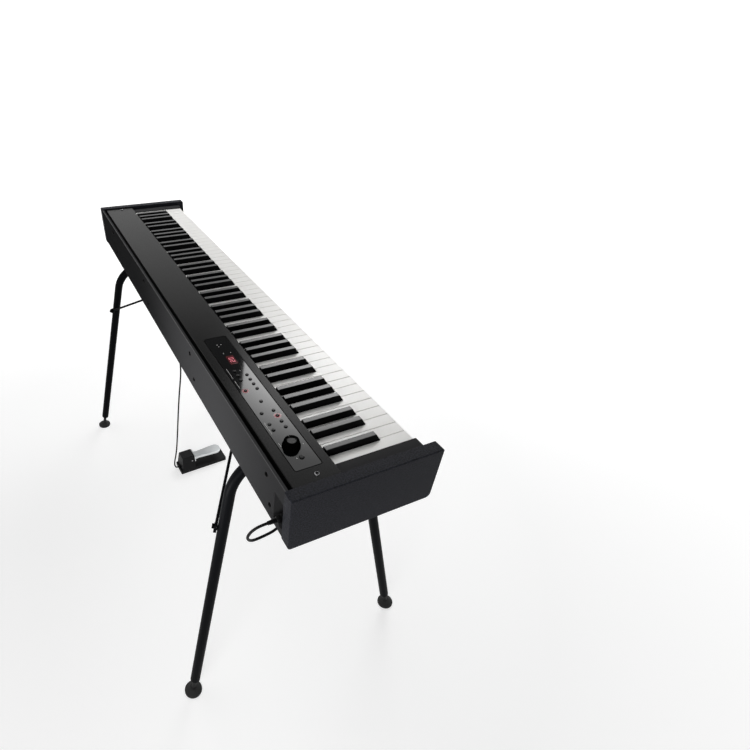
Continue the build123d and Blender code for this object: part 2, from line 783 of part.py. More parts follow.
def jack_heights():
    """Heights of the sockets, lowest first."""
    return [plug_z + step * JACK_PITCH for step in range(JACK_COUNT)]


def jack_box():
    """The open box behind the notch in the rear panel, whose back wall holds the sockets."""
    left = -inner_x
    right = left + BAY_WIDTH
    top = bay_bottom + BAY_HEIGHT
    shell = block(
        (left, right + BAY_WALL),
        (bay_front - BAY_WALL, rear_inside),
        (board_top, top + BAY_WALL),
    )
    shell -= block((left + BAY_WALL, right), (bay_front, rear_inside), (bay_bottom, top))
    for z in jack_heights():
        ends = (jack_x, bay_front - BAY_WALL, z), (jack_x, bay_front, z)
        shell -= drum(JACK_BUSH_RADIUS + SCREW_CLEARANCE, *ends)
    return shell


def jack_socket(z):
    """A phone-plug socket: a square body, a bush through the wall and a round nut, bored through."""
    half = JACK_BODY / 2
    wall = bay_front - BAY_WALL
    body = block((jack_x - half, jack_x + half), (wall - JACK_BODY_LENGTH, wall), (z - half, z + half))
    bush = drum(JACK_BUSH_RADIUS, (jack_x, wall, z), (jack_x, bay_front, z))
    nut = drum(JACK_NUT_RADIUS, (jack_x, bay_front, z), (jack_x, bay_front + JACK_NUT_HEIGHT, z))
    mouth = bay_front + JACK_NUT_HEIGHT
    bore = drum(JACK_RADIUS, (jack_x, wall - JACK_BODY_LENGTH + BAY_WALL, z), (jack_x, mouth, z))
    return cut(whole(body, bush, nut), bore)


def main_board_posts():
    """Places of the posts on the rear panel that hold the main board."""
    places = []
    for side in (-1, 1):
        x = main_board_x + side * (MAIN_BOARD_LENGTH / 2 - MAIN_BOARD_POST)
        places.append((x, board_top + 2 * MAIN_BOARD_POST))
        places.append((x, board_top + MAIN_BOARD_HEIGHT))
    return places


def main_board():
    """The sound board on its posts inside the rear panel."""
    face = rear_inside - MAIN_BOARD_POST
    half = MAIN_BOARD_LENGTH / 2
    x = (main_board_x - half, main_board_x + half)
    z = (board_top + MAIN_BOARD_POST, board_top + MAIN_BOARD_POST + MAIN_BOARD_HEIGHT)
    return block(x, (face - CIRCUIT_BOARD, face), z)


def cord_plug():
    """The pedal lead's plug in the lowest socket: tip, barrel and a ribbed, tapering sleeve."""
    mouth = bay_front + JACK_NUT_HEIGHT + SEAT_GAP
    barrel_end = mouth + PLUG_BARREL_LENGTH
    tip_y = bay_front - JACK_BODY_LENGTH + BAY_WALL
    tip = drum(PLUG_RADIUS, (jack_x, tip_y, plug_z), (jack_x, mouth, plug_z))
    barrel = drum(PLUG_BARREL_RADIUS, (jack_x, mouth, plug_z), (jack_x, barrel_end, plug_z))
    barrel = fillet(barrel.edges().filter_by(GeomType.CIRCLE), PLUG_BARREL_RADIUS / 4)
    sleeve = Pos(jack_x, barrel_end, plug_z) * Rot(-90, 0, 0) * sleeve_form()
    return whole(tip, barrel, sleeve)


def sleeve_form():
    """The bend protector behind the plug, standing on the XY plane."""
    wide = PLUG_BARREL_RADIUS - SLEEVE_STEP
    narrow = CORD_RADIUS + SLEEVE_WALL
    return Pos(0, 0, PLUG_SLEEVE_LENGTH / 2) * Cone(wide, narrow, PLUG_SLEEVE_LENGTH)


# Screws and bolts


def headed(start, direction, head_radius, head_height, radius, length):
    """A screw whose head stands on a face at start and whose shank goes the other way."""
    way = Vector(*direction).normalized()
    origin = Vector(*start)
    head = extrude(Plane(origin=origin, z_dir=way) * RegularPolygon(head_radius, 8), head_height)
    return whole(head, drum(radius, origin.to_tuple(), (origin - way * length).to_tuple()))


def case_screws():
    """The screws that hold the rear panel and the ends of the top panel."""
    size = (SCREW_HEAD_RADIUS, SCREW_HEAD_HEIGHT, SCREW_RADIUS)
    screws = []
    for x, z in rear_screw_places():
        screws.append(headed((x, rear_face, z), (0, 1, 0), *size, REAR_THICKNESS))
    for side in (-1, 1):
        place = (side * top_screw_x, top_screw_y, panel_top)
        screws.append(headed(place, (0, 0, 1), *size, TOP_PANEL_THICKNESS))
    return group(screws)


# Stand


def leg_direction(side, end):
    """The way down a leg: side is -1 bass or +1 treble, end is -1 front or +1 rear."""
    return Vector(side * LEG_LEAN, end * LEG_SPLAY, -1).normalized()


def leg_corner(side, end):
    """Where the top of the frame and a leg would meet without the bend."""
    return Vector(side * leg_top_x, end * leg_top_y, tube_z)


def leg_at(side, end, z):
    """The point of a leg's axis at a height."""
    way = leg_direction(side, end)
    return leg_corner(side, end) + way * ((z - tube_z) / way.Z)


def leg_frame(side):
    """One bent tube: two splayed legs and the top between them, with a bush in each lower end."""
    ends = [leg_at(side, end, LEG_END_HEIGHT) for end in (-1, 1)]
    path = FilletPolyline(ends[0], leg_corner(side, -1), leg_corner(side, 1), ends[1], radius=LEG_BEND)
    section = Circle(TUBE_RADIUS) - Circle(TUBE_RADIUS - TUBE_WALL)
    frame = sweep(Plane(origin=path @ 0, z_dir=path % 0) * section, path=path)
    for end, foot in zip((-1, 1), ends):
        way = leg_direction(side, end)
        top = foot - way * LEG_BUSH_LENGTH
        bush = drum(TUBE_RADIUS - TUBE_WALL, foot.to_tuple(), top.to_tuple())
        bore = drum(STEM_RADIUS + STEM_CLEARANCE, foot.to_tuple(), top.to_tuple())
        frame = whole(frame, bush - bore)
        axis_point, outward = brace_seat(side, end)
        hole_end = axis_point + outward * (TUBE_RADIUS + 1)
        frame -= drum(BOLT_RADIUS + SCREW_CLEARANCE, axis_point.to_tuple(), hole_end.to_tuple())
    return frame


def foot(side, end):
    """A levelling foot: a domed pad on a stem that slides in the leg's bush."""
    way = leg_direction(side, end)
    centre = leg_at(side, end, FOOT_RIM)
    outline = make_face(
        Polyline(
            (0, 0),
            (FOOT_RADIUS, 0),
            (FOOT_RADIUS, FOOT_RIM),
            (FOOT_NECK, FOOT_HEIGHT),
            (0, FOOT_HEIGHT),
            close=True,
        )
    )
    pad = Pos(centre.X, centre.Y, 0) * revolve(Plane.XZ * outline, Axis.Z)
    stem_top = leg_at(side, end, LEG_END_HEIGHT) - way * STEM_REACH
    return whole(pad, drum(STEM_RADIUS, centre.to_tuple(), stem_top.to_tuple()))


def bracket_bolt_places():
    """X and Y of the bolts that hold the leg frames' brackets to the board."""
    places = []
    for side in (-1, 1):
        for across in (-1, 1):
            for along in (-1, 1):
                x = side * leg_top_x + across * BRACKET_BOLT_X
                places.append((x, along * BRACKET_BOLT_Y))
    return places


def leg_bracket(side):
    """The flat bracket between a leg frame and the board."""
    half_width = BRACKET_WIDTH / 2
    half_length = BRACKET_LENGTH / 2
    middle = side * leg_top_x
    plate = block(
        (middle - half_width, middle + half_width),
        (-half_length, half_length),
        (board_bottom - BRACKET_THICKNESS, board_bottom),
    )
    plate = fillet(plate.edges().filter_by(Axis.Z), BRACKET_THICKNESS)
    for x, y in bracket_bolt_places():
        if x * side > 0:
            ends = (x, y, board_bottom - BRACKET_THICKNESS), (x, y, board_bottom)
            plate -= drum(BOLT_RADIUS + SCREW_CLEARANCE, *ends)
    return plate


def brace_top(side, end):
    """The bend in a brace rod where it meets the board."""
    return Vector(side * (leg_top_x - ROD_REACH), end * ROD_TOP_Y, board_bottom - lug_thickness / 2)


def brace_seat(side, end):
    """The leg's axis point beside a brace rod, and the way from there to the rod."""
    axis_point = leg_at(side, end, tube_z - ROD_DROP)
    way = leg_direction(side, end)
    outward = way.cross(brace_top(side, end) - axis_point).normalized()
    if outward.Y * end < 0:
        outward = outward * -1
    return axis_point, outward


def brace_lug(side, end):
    """The centre of the lug that bolts a brace rod to the board."""
    start = leg_at(side, end, tube_z - ROD_DROP)
    top = brace_top(side, end)
    level = Vector(top.X - start.X, top.Y - start.Y, 0).normalized()
    return top + level * ROD_FLAT


def lug_places():
    """X and Y of the bolts that hold the brace rods to the board."""
    corners = [(side, end) for side in (-1, 1) for end in (-1, 1)]
    return [(brace_lug(*corner).X, brace_lug(*corner).Y) for corner in corners]


def brace_rod(side, end):
    """A brace rod with a lug at each end: against the leg below and flat under the board above."""
    axis_point, outward = brace_seat(side, end)
    inner = TUBE_RADIUS + ROD_SEAT
    seat = axis_point + outward * (inner + lug_thickness / 2)
    top = brace_top(side, end)
    low = seat - (top - seat).normalized() * ROD_TAIL
    lug = brace_lug(side, end)
    path = FilletPolyline(low, top, lug, radius=ROD_BEND)
    rod = sweep(Plane(origin=path @ 0, z_dir=path % 0) * Circle(ROD_RADIUS), path=path)
    low_start = axis_point + outward * inner
    low_end = axis_point + outward * (inner + lug_thickness)
    high_start = (lug.X, lug.Y, board_bottom - lug_thickness)
    high_end = (lug.X, lug.Y, board_bottom)
    hole = BOLT_RADIUS + SCREW_CLEARANCE
    rod = whole(
        rod,
        drum(ROD_LUG_RADIUS, low_start.to_tuple(), low_end.to_tuple()),
        drum(ROD_LUG_RADIUS, high_start, high_end),
    )
    return cut(
        rod,
        drum(hole, low_start.to_tuple(), low_end.to_tuple()),
        drum(hole, high_start, high_end),
    )


def stand_bolts():
    """The bolts of the brackets and of both ends of the brace rods."""
    size = (BOLT_HEAD_RADIUS, BOLT_HEAD_HEIGHT, BOLT_RADIUS)
    bolts = []
    for x, y in bracket_bolt_places():
        start = (x, y, board_bottom - BRACKET_THICKNESS)
        bolts.append(headed(start, (0, 0, -1), *size, BRACKET_THICKNESS + BOLT_BITE))
    for side in (-1, 1):
        for end in (-1, 1):
            lug = brace_lug(side, end)
            start = (lug.X, lug.Y, board_bottom - lug_thickness)
            bolts.append(headed(start, (0, 0, -1), *size, lug_thickness + BOLT_BITE))
            axis_point, outward = brace_seat(side, end)
            head = axis_point + outward * (TUBE_RADIUS + ROD_SEAT + lug_thickness)
            length = lug_thickness + ROD_SEAT + TUBE_WALL
            bolts.append(headed(head.to_tuple(), outward.to_tuple(), *size, length))
    return group(bolts)


# Pedal


def pedal_housing():
    """The moulded pedal case: a low sole plate and a leaning block with the tread's slot."""
    half_length = PEDAL_LENGTH / 2
    base = extrude(RectangleRounded(PEDAL_WIDTH, PEDAL_LENGTH, PEDAL_BASE_ROUND), PEDAL_BASE_HEIGHT)
    front = half_length - PEDAL_BLOCK_LENGTH
    low_length = PEDAL_BLOCK_LENGTH - PEDAL_BLOCK_INSET
    low = Rectangle(PEDAL_WIDTH, low_length)
    low = Pos(0, front + low_length / 2, PEDAL_BASE_HEIGHT) * low
    high_length = low_length - PEDAL_BLOCK_LEAN
    high = Pos(0, front + high_length / 2, PEDAL_BLOCK_HEIGHT) * Rectangle(PEDAL_BLOCK_TOP_WIDTH, high_length)
    upper = loft([low, high])
    upper = fillet(upper.faces().sort_by(Axis.Z)[-1].edges(), PEDAL_TOP_ROUND)
    case = whole(base, upper)
    slot_width = TREAD_SHOULDER + 2 * STEM_CLEARANCE
    slot = block(
        (-slot_width / 2, slot_width / 2),
        (front, front + PEDAL_SLOT_DEPTH),
        (PIN_HEIGHT - PEDAL_SLOT_HEIGHT / 2, PIN_HEIGHT + PEDAL_SLOT_HEIGHT / 2),
    )
    pin_y = front + PIN_INSET
    half_width = PEDAL_WIDTH / 2
    pin_hole = drum(PIN_RADIUS, (-half_width, pin_y, PIN_HEIGHT), (half_width, pin_y, PIN_HEIGHT))
    gland_start = half_length - PEDAL_BLOCK_INSET
    gland = drum(GLAND_RADIUS, (0, gland_start, GLAND_HEIGHT), (0, gland_end, GLAND_HEIGHT))
    case = whole(cut(case, slot, pin_hole), gland)
    return pedal_place * case


gland_end = PEDAL_LENGTH / 2 + GLAND_LENGTH
pin_place_y = PEDAL_LENGTH / 2 - PEDAL_BLOCK_LENGTH + PIN_INSET


def block_half_width(z):
    """Half the width of the pedal's block at a height."""
    rise = (z - PEDAL_BASE_HEIGHT) / (PEDAL_BLOCK_HEIGHT - PEDAL_BASE_HEIGHT)
    return (PEDAL_WIDTH + rise * (PEDAL_BLOCK_TOP_WIDTH - PEDAL_WIDTH)) / 2


def pin_half_length():
    """Half the length of the hinge pin, flush with the leaning sides of the block."""
    return block_half_width(PIN_HEIGHT + PIN_RADIUS)


def pedal_pin():
    """The hinge pin, pressed into the block."""
    half = pin_half_length()
    pin = drum(PIN_RADIUS, (-half, pin_place_y, PIN_HEIGHT), (half, pin_place_y, PIN_HEIGHT))
    return pedal_place * pin


def tread_shield():
    """The upright plate at the root of the tread that covers the front of the block."""
    low = PIN_HEIGHT - TREAD_FLANGE
    high = PIN_HEIGHT + SHIELD_RISE
    low_half = block_half_width(low)
    high_half = block_half_width(high)
    outline = make_face(
        Polyline((-low_half, low), (low_half, low), (high_half, high), (-high_half, high), close=True)
    )
    face_y = pin_place_y - PIN_INSET - SHIELD_GAP
    return Pos(0, face_y, 0) * extrude(Plane.XZ * outline, SHIELD_THICKNESS)


def pedal_tread():
    """The pressed-steel tread: a tongue with turned-down sides, a broad round tip and a hinge barrel."""
    waist = TREAD_WAIST / 2
    broad = TREAD_TIP_WIDTH / 2
    shoulder = TREAD_SHOULDER / 2
    root = pin_place_y
    shoulder_y = root - PIN_INSET
    waist_y = shoulder_y - TREAD_SHOULDER / 2
    tip_y = root - TREAD_LENGTH + broad
    outline = Polyline((-broad, tip_y), (-waist, waist_y), (-shoulder, shoulder_y), (-shoulder, root))
    outline += Line((-shoulder, root), (shoulder, root))
    outline += Polyline((shoulder, root), (shoulder, shoulder_y), (waist, waist_y), (broad, tip_y))
    outline += ThreePointArc((broad, tip_y), (0, tip_y - broad), (-broad, tip_y))
    face = make_face(outline)
    inside = offset(face, -TREAD_THICKNESS)
    top = PIN_HEIGHT + TREAD_KNUCKLE
    tongue = extrude(Pos(0, 0, top - TREAD_THICKNESS - TREAD_FLANGE) * face, TREAD_THICKNESS + TREAD_FLANGE)
    tongue -= extrude(Pos(0, 0, top - TREAD_THICKNESS - TREAD_FLANGE) * inside, TREAD_FLANGE)
    tongue = whole(tongue, tread_shield())
    barrel = drum(TREAD_KNUCKLE, (-shoulder, root, PIN_HEIGHT), (shoulder, root, PIN_HEIGHT))
    bore = drum(PIN_RADIUS + PIN_FIT, (-shoulder, root, PIN_HEIGHT), (shoulder, root, PIN_HEIGHT))
    return pedal_place * cut(whole(tongue, barrel), bore)


# Pedal lead


sleeve_end = bay_front + JACK_NUT_HEIGHT + SEAT_GAP + PLUG_BARREL_LENGTH + PLUG_SLEEVE_LENGTH
cord_start = Vector(jack_x, sleeve_end, plug_z)
cord_exit = (pedal_place * Pos(0, gland_end, GLAND_HEIGHT)).position
cord_near_exit = (pedal_place * Pos(0, gland_end + CORD_FOLD, GLAND_HEIGHT)).position
cord_under_y = rear_inside - CORD_FROM_BACK
cord_under_z = board_bottom - CORD_UNDER_GAP


def cord_under():
    """The stretch under the board, wandering a little from side to side."""
    first = cord_start.X + PLUG_LOOP[-1][0] + PLUG_SLEEVE_LENGTH * 2
    step = (cord_exit.X - CORD_UNDER_END - first) / CORD_UNDER_RUNS
    points = []
    for place in range(CORD_UNDER_RUNS + 1):
        side = 1 if place % 2 else -1
        points.append(Vector(first + place * step, cord_under_y + side * CORD_WANDER, cord_under_z))
    return points


def cord_points():
    """The lead's route, from the end of the plug's sleeve to the pedal's gland."""
    loop = [cord_start + Vector(*off) for off in PLUG_LOOP]
    fall = [Vector(cord_exit.X + x, cord_exit.Y + y, share * board_bottom) for x, y, share in CORD_FALL]
    fold = [cord_exit + Vector(*off) for off in PEDAL_FOLD]
    lead = cord_start + Vector(0, CORD_LEAD, 0)
    return [cord_start, lead, *loop, *cord_under(), *fall, *fold, cord_near_exit, cord_exit]


def cord_radii(points):
    """Each bend as large as its two runs allow."""
    radii = []
    for before, here, after in zip(points, points[1:], points[2:]):
        shorter = min((here - before).length, (after - here).length)
        turn = (here - before).get_angle(after - here)
        radii.append(0.45 * shorter / tan(radians(turn / 2)))
    return radii


def pedal_cord():
    """The pedal lead, one round tube."""
    points = cord_points()
    radii = cord_radii(points)
    print("lead bend radii", [round(radius) for radius in radii])
    path = FilletPolyline(*points, radius=radii)
    cord = sweep(Plane(origin=path @ 0, z_dir=path % 0) * Circle(CORD_RADIUS), path=path)
    filled = cord.volume / (Circle(CORD_RADIUS).area * path.length)
    print("lead length", round(path.length, 1), "volume ratio", round(filled, 4))
    return cord


def cord_clip(run):
    """A saddle clip under the board, over the middle of one run of the lead."""
    before, after = cord_under()[run:run + 2]
    x = (before.X + after.X) / 2
    inner = CORD_RADIUS + CLIP_CLEARANCE
    outer = inner + CLIP_WALL
    start = (x - CLIP_WIDTH / 2, cord_under_y, cord_under_z)
    end = (x + CLIP_WIDTH / 2, cord_under_y, cord_under_z)
    sides = (cord_under_y - outer, cord_under_y + outer)
    saddle = block((start[0], end[0]), sides, (cord_under_z, board_bottom))
    return cut(whole(saddle, drum(outer, start, end)), drum(inner, start, end))


def build():
    """Every node of the piano by name."""
    nodes = {
        "bottom_board": bottom_board(),
        "left_cheek": cheek(-1),
        "right_cheek": cheek(1),
        "rear_panel": rear_panel(),
        "top_panel": top_panel(),
        "key_slip": key_slip(),
        "left_end_block": end_block(-1),
        "right_end_block": end_block(1),
        "key_frame": key_frame(),
        "key_felt": key_felt(),
        "key_contact_board": key_contact_board(),
        "contact_rubber": contact_rubber(),
        "control_plate": control_plate(),
        "led_display": led_display(),
        "panel_board": panel_board(),
        "tact_switches": tact_switches(),
        "volume_pot": volume_pot(),
        "pot_shaft": pot_shaft(),
        "volume_knob": volume_knob(),
        "power_button": button(*power_place, POWER_RADIUS),
        "jack_box": jack_box(),
        "jack_sockets": group([jack_socket(z) for z in jack_heights()]),
        "main_board": main_board(),
        "case_screws": case_screws(),
        "left_leg_frame": leg_frame(-1),
        "right_leg_frame": leg_frame(1),
        "leg_brackets": group([leg_bracket(side) for side in (-1, 1)]),
        "brace_rods": group([brace_rod(side, end) for side in (-1, 1) for end in (-1, 1)]),
        "stand_bolts": stand_bolts(),
        "pedal_housing": pedal_housing(),
        "pedal_tread": pedal_tread(),
        "pedal_pin": pedal_pin(),
        "pedal_cord": pedal_cord(),
        "cord_plug": cord_plug(),
        "cord_clips": group([cord_clip(run) for run in CLIP_RUNS]),
    }
    for name, places in button_groups.items():
        nodes[name] = group([button(x, y, BUTTON_RADIUS) for x, y in places])
    for side, side_name in ((-1, "left"), (1, "right")):
        for end, end_name in ((-1, "front"), (1, "rear")):
            nodes[f"{side_name}_{end_name}_foot"] = foot(side, end)
    for octave in range(8):
        whites = [white for white in range(WHITE_COUNT) if octave_of(white) == octave]
        nodes[f"white_keys_{octave}"] = group([white_key(white) for white in whites])
        blacks = [black_key(white) for white in whites if has_black(white)]
        nodes[f"black_keys_{octave}"] = group(blacks)
    return nodes


os.makedirs("parts", exist_ok=True)
for name, shape in build().items():
    export_step(shape, f"parts/{name}.step")
    print(name, round(shape.volume / 1000, 1), "cm3")
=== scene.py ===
# %% [markdown]
# # A digital piano on its stand
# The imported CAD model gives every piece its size, its place and the body that it moves with.
# This lesson dresses it: materials, softened edges and the small pieces that give it life.
# X runs along the keys, Y towards the back and Z up from the floor. Sizes are written in millimetres,
# apart from those of the studio's glow, lamps and camera, which are in the metres that Blender uses.

# %% Open the frame
import json
from math import radians, tan

import bpy
from mathutils import Matrix, Vector

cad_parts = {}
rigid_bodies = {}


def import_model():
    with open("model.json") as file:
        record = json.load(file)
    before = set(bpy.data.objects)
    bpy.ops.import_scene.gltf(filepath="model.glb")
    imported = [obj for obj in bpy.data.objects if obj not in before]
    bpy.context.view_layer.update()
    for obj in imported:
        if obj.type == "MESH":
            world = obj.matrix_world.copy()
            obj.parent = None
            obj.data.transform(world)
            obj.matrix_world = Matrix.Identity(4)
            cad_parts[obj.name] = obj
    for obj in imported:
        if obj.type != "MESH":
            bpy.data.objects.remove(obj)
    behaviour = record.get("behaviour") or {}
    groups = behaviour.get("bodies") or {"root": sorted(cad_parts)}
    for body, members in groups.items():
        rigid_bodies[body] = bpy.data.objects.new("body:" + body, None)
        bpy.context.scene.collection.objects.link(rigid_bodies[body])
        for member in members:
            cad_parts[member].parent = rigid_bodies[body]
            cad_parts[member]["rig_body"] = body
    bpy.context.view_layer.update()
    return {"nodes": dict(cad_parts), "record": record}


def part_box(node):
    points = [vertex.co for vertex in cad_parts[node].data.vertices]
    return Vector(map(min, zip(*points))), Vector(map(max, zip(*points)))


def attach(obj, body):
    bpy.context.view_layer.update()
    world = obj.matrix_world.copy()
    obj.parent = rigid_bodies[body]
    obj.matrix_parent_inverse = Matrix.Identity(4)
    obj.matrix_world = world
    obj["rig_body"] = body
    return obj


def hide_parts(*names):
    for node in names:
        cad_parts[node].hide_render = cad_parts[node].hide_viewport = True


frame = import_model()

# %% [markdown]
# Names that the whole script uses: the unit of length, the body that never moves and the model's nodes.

MM = 0.001
ROOT_BODY = "piano"
nodes = frame["nodes"]

# %% [markdown]
# A colour is written as a hex value, the way a paint chip is, but a shader works in linear light.
# One function turns the first into the second, and one function adds a node with its settings.

# %% Colours and nodes


def linear(hex_colour):
    """A hex colour as the linear numbers that a shader's socket takes, by the sRGB curve."""
    channels = [int(hex_colour[place:place + 2], 16) / 255 for place in (0, 2, 4)]
    bright = [c / 12.92 if c <= 0.04045 else ((c + 0.055) / 1.055) ** 2.4 for c in channels]
    return bright + [1.0]


def add_node(tree, kind, settings, links=()):
    """A node with its sockets and properties set by name, and linked from other nodes."""
    node = tree.nodes.new(kind)
    for name, value in settings.items():
        if isinstance(name, int) or name in node.inputs:
            node.inputs[name].default_value = value
        else:
            setattr(node, name, value)
    for source, output, target in links:
        tree.links.new(source.outputs[output], node.inputs[target])
    return node


def finish(name, colour, roughness, **sockets):
    """A material with one colour and sheen all over: the start of every finish here."""
    material = bpy.data.materials.new(name)
    material.use_nodes = True
    shader = material.node_tree.nodes["Principled BSDF"]
    shader.inputs["Base Color"].default_value = linear(colour)
    shader.inputs["Roughness"].default_value = roughness
    for socket, value in sockets.items():
        shader.inputs[socket.replace("_", " ")].default_value = value
    return material


print("helpers for colours and nodes are ready")

# %% [markdown]
# A moulded or painted surface is rarely quite smooth. Its relief is far too fine to model, so noise
# tilts the light instead. Where the grains differ in colour as well, noise of the same width picks
# between two colours. Both helpers take the width of a grain in millimetres.

# %% Relief and speckle
RELIEF_DETAIL = 3.0
SPECKLE_DETAIL = 2.0
SPECKLE_BAND = (0.35, 0.65)


def grain(material, grit_mm, depth_mm):
    """Fine relief on a finish: noise as wide as the grit and as deep as the texture."""
    tree = material.node_tree
    shader = tree.nodes["Principled BSDF"]
    place = add_node(tree, "ShaderNodeTexCoord", {})
    noise = add_node(
        tree,
        "ShaderNodeTexNoise",
        {"Scale": 1 / (grit_mm * MM), "Detail": RELIEF_DETAIL},
        [(place, "Object", "Vector")],
    )
    bump = add_node(
        tree,
        "ShaderNodeBump",
        {"Distance": depth_mm * MM, "Strength": 1.0},
        [(noise, "Fac", "Height")],
    )
    tree.links.new(bump.outputs["Normal"], shader.inputs["Normal"])
    return material


def speckle(material, grit_mm, dark, light):
    """A finish that runs between two colours from grain to grain."""
    tree = material.node_tree
    place = add_node(tree, "ShaderNodeTexCoord", {})
    noise = add_node(
        tree,
        "ShaderNodeTexNoise",
        {"Scale": 1 / (grit_mm * MM), "Detail": SPECKLE_DETAIL},
        [(place, "Object", "Vector")],
    )
    ramp = add_node(tree, "ShaderNodeValToRGB", {}, [(noise, "Fac", "Fac")])
    for stop, position, colour in zip(ramp.color_ramp.elements, SPECKLE_BAND, (dark, light)):
        stop.position = position
        stop.color = linear(colour)
    tree.links.new(ramp.outputs["Color"], tree.nodes["Principled BSDF"].inputs["Base Color"])
    return material


print("relief and speckle are ready")

# %% [markdown]
# The case is moulded and pressed: cheeks in ABS with a pebbled grain, a back of plain matt ABS and a
# top of steel sheet in satin paint. All are close to black: what shows of them is mostly sheen, so the
# sheen's strength is set as well as its spread.

# %% Finishes of the case
PEBBLE = 2.4
# Moulded ABS with a pebbled grain: a dull charcoal that varies from grain to grain. The real grain is
# too fine to show, so it is drawn this coarse and deep.
pebbled_abs = grain(finish("pebbled_abs", "1c1d22", 0.6, Specular_IOR_Level=0.12), PEBBLE, depth_mm=0.7)
speckle(pebbled_abs, PEBBLE, "131418", "26272e")
# Plain moulded ABS, left matt: an even dark grey without a highlight. Its grain is coarser here too.
matt_abs = finish("matt_abs", "3c3c3d", 0.9, Specular_IOR_Level=0.0)
grain(matt_abs, grit_mm=1.6, depth_mm=0.25)
# The same ABS, paler and shinier on faces that look up and back: a painted highlight along the edge.
edge_highlight_abs = finish("abs_painted_edge_highlight", "404042", 0.4, Specular_IOR_Level=0.3)
# Sprayed satin paint on steel sheet: a wide, soft gleam. A shallow ripple only breaks up its border.
satin_paint = finish("satin_paint_on_steel", "0a0a0a", 0.24, Specular_IOR_Level=0.085)
grain(satin_paint, grit_mm=0.9, depth_mm=0.012)
# Unpainted ABS inside the case: hardly any light comes back from it.
inner_abs = finish("plain_abs_inside", "0c0a08", 0.7, Specular_IOR_Level=0.1)
# Polished acrylic sheet: a dark mirror that shows where the soft box ends.
plate_acrylic = finish("gloss_acrylic", "050607", 0.05)
print("case finishes", len(bpy.data.materials))

# %% [markdown]
# White keys are moulded in an off-white acrylic that is polished on top. Black keys have a matt ebony
# touch; their tops get a shinier copy of that finish, a painted sheen, and their duller sides stay deep
# black as painted shade. On the plate, the buttons have a satin sheen and the knob has none.

# %% Finishes of keys and controls
# Moulded and polished acrylic: a slightly warm white with a soft gleam.
key_white = finish("polished_off_white_acrylic", "f1f0ed", 0.3)
# Moulded plastic with a matt grain and almost no sheen: deep black sides, standing for their shade.
key_black = finish("matt_ebony_plastic", "030304", 0.4, Specular_IOR_Level=0.06)
# The same plastic with more sheen, for the tops only: a painted grey gleam.
key_top_sheen = finish("ebony_plastic_painted_top_sheen", "030304", 0.3, Specular_IOR_Level=0.5)
for ebony in (key_black, key_top_sheen):
    grain(ebony, grit_mm=1.0, depth_mm=0.01)
# Moulded satin ABS: a small highlight on each cap.
button_abs = finish("satin_black_abs", "040405", 0.2, Specular_IOR_Level=0.16)
# ABS with a soft-touch coat: no highlight, so the knob is a black shape on the gloss.
knob_abs = finish("soft_touch_knob", "040404", 0.6, Specular_IOR_Level=0.0)
# Moulded gloss ABS: a dim reflection in the dish.
knob_dish = finish("gloss_black_abs", "050505", 0.25, Specular_IOR_Level=0.18)
# Screen-printed inks: flat and pale, so that they show on the gloss.
mark_ink = finish("pale_ink", "b4b4b2", 0.5)
faint_ink = finish("faint_ink", "58585a", 0.5)
print("key and control finishes", len(bpy.data.materials))

# %% [markdown]
# Four reds are lit from behind. Each has a dull colour of its own and a glow on top: strong for the
# digits, weaker for the lamps round the buttons and for the plastic that only catches their light.

# %% Lit finishes
# Tinted acrylic over the display: a dark red window.
display_filter = finish("red_display_filter", "240408", 0.15, Specular_IOR_Level=0.2)
# Lit segments, a lit collar and the acrylic round it: bright pink, then red, then a faint blush.
lit_red = finish("lit_red_segment", "a05060", 0.4)
lamp_red = finish("lit_red_lamp", "6a4448", 0.4)
halo_red = finish("red_glow_in_acrylic", "4c383a", 0.2)
GLOWS = (
    (display_filter, "a00c20", 0.12),
    (lit_red, "ff8090", 0.75),
    (lamp_red, "c8646c", 0.4),
    (halo_red, "7a4046", 0.3),
)
for lit, colour, power in GLOWS:
    shader = lit.node_tree.nodes["Principled BSDF"]
    shader.inputs["Emission Color"].default_value = linear(colour)
    shader.inputs["Emission Strength"].default_value = power
print("lit finishes", len(GLOWS))

# %% [markdown]
# The stand is steel tube with a smooth powder coat, the bolts are blackened steel, the feet rubber.
# The pedal has a textured plastic case and a chromed tread. The lead has a soft PVC jacket. The rest
# is inside the case and shows only where a key or a cover is taken away.

# %% Finishes of stand, pedal and inside
# Baked powder coat: near black, with a broad and faint sheen on a slight ripple.
powder_coat = finish("black_powder_coat", "0b0c0f", 0.45, Specular_IOR_Level=0.04)
grain(powder_coat, grit_mm=0.8, depth_mm=0.01)
# Steel blackened in a hot bath: bolts and screws that are only dark dots.
black_steel = finish("blackened_steel", "030303", 0.6, Specular_IOR_Level=0.03)
# A pale bright metal for the slopes of the screws on top: a painted highlight rim.
rim_highlight_steel = finish("blackened_steel_painted_rim_highlight", "9a9a9c", 0.45, Metallic=1.0)
# Plated metals: zinc is a cool grey, nickel on brass is brighter and warmer.
zinc_steel = finish("zinc_plated_steel", "a9aaad", 0.35, Metallic=1.0)
nickel = finish("nickel_plated_brass", "b9b4a6", 0.25, Metallic=1.0)
# Moulded rubber: a dull black.
foot_rubber = finish("foot_rubber", "0f0f0f", 0.75)
# Textured ABS: dull, with an uneven sheen. The texture is coarser here than on a real pedal.
pedal_abs = finish("pedal_abs", "131314", 0.5, Specular_IOR_Level=0.15)
grain(pedal_abs, grit_mm=1.2, depth_mm=0.08)
# Chrome with a satin polish: the brightest metal here, with blurred reflections.
tread_chrome = finish("satin_chrome", "d6d9da", 0.3, Metallic=1.0)
# Extruded PVC: smooth and black, with a thin line of light along the lead.
cord_pvc = finish("soft_pvc", "0a0a0b", 0.45, Specular_IOR_Level=0.15)
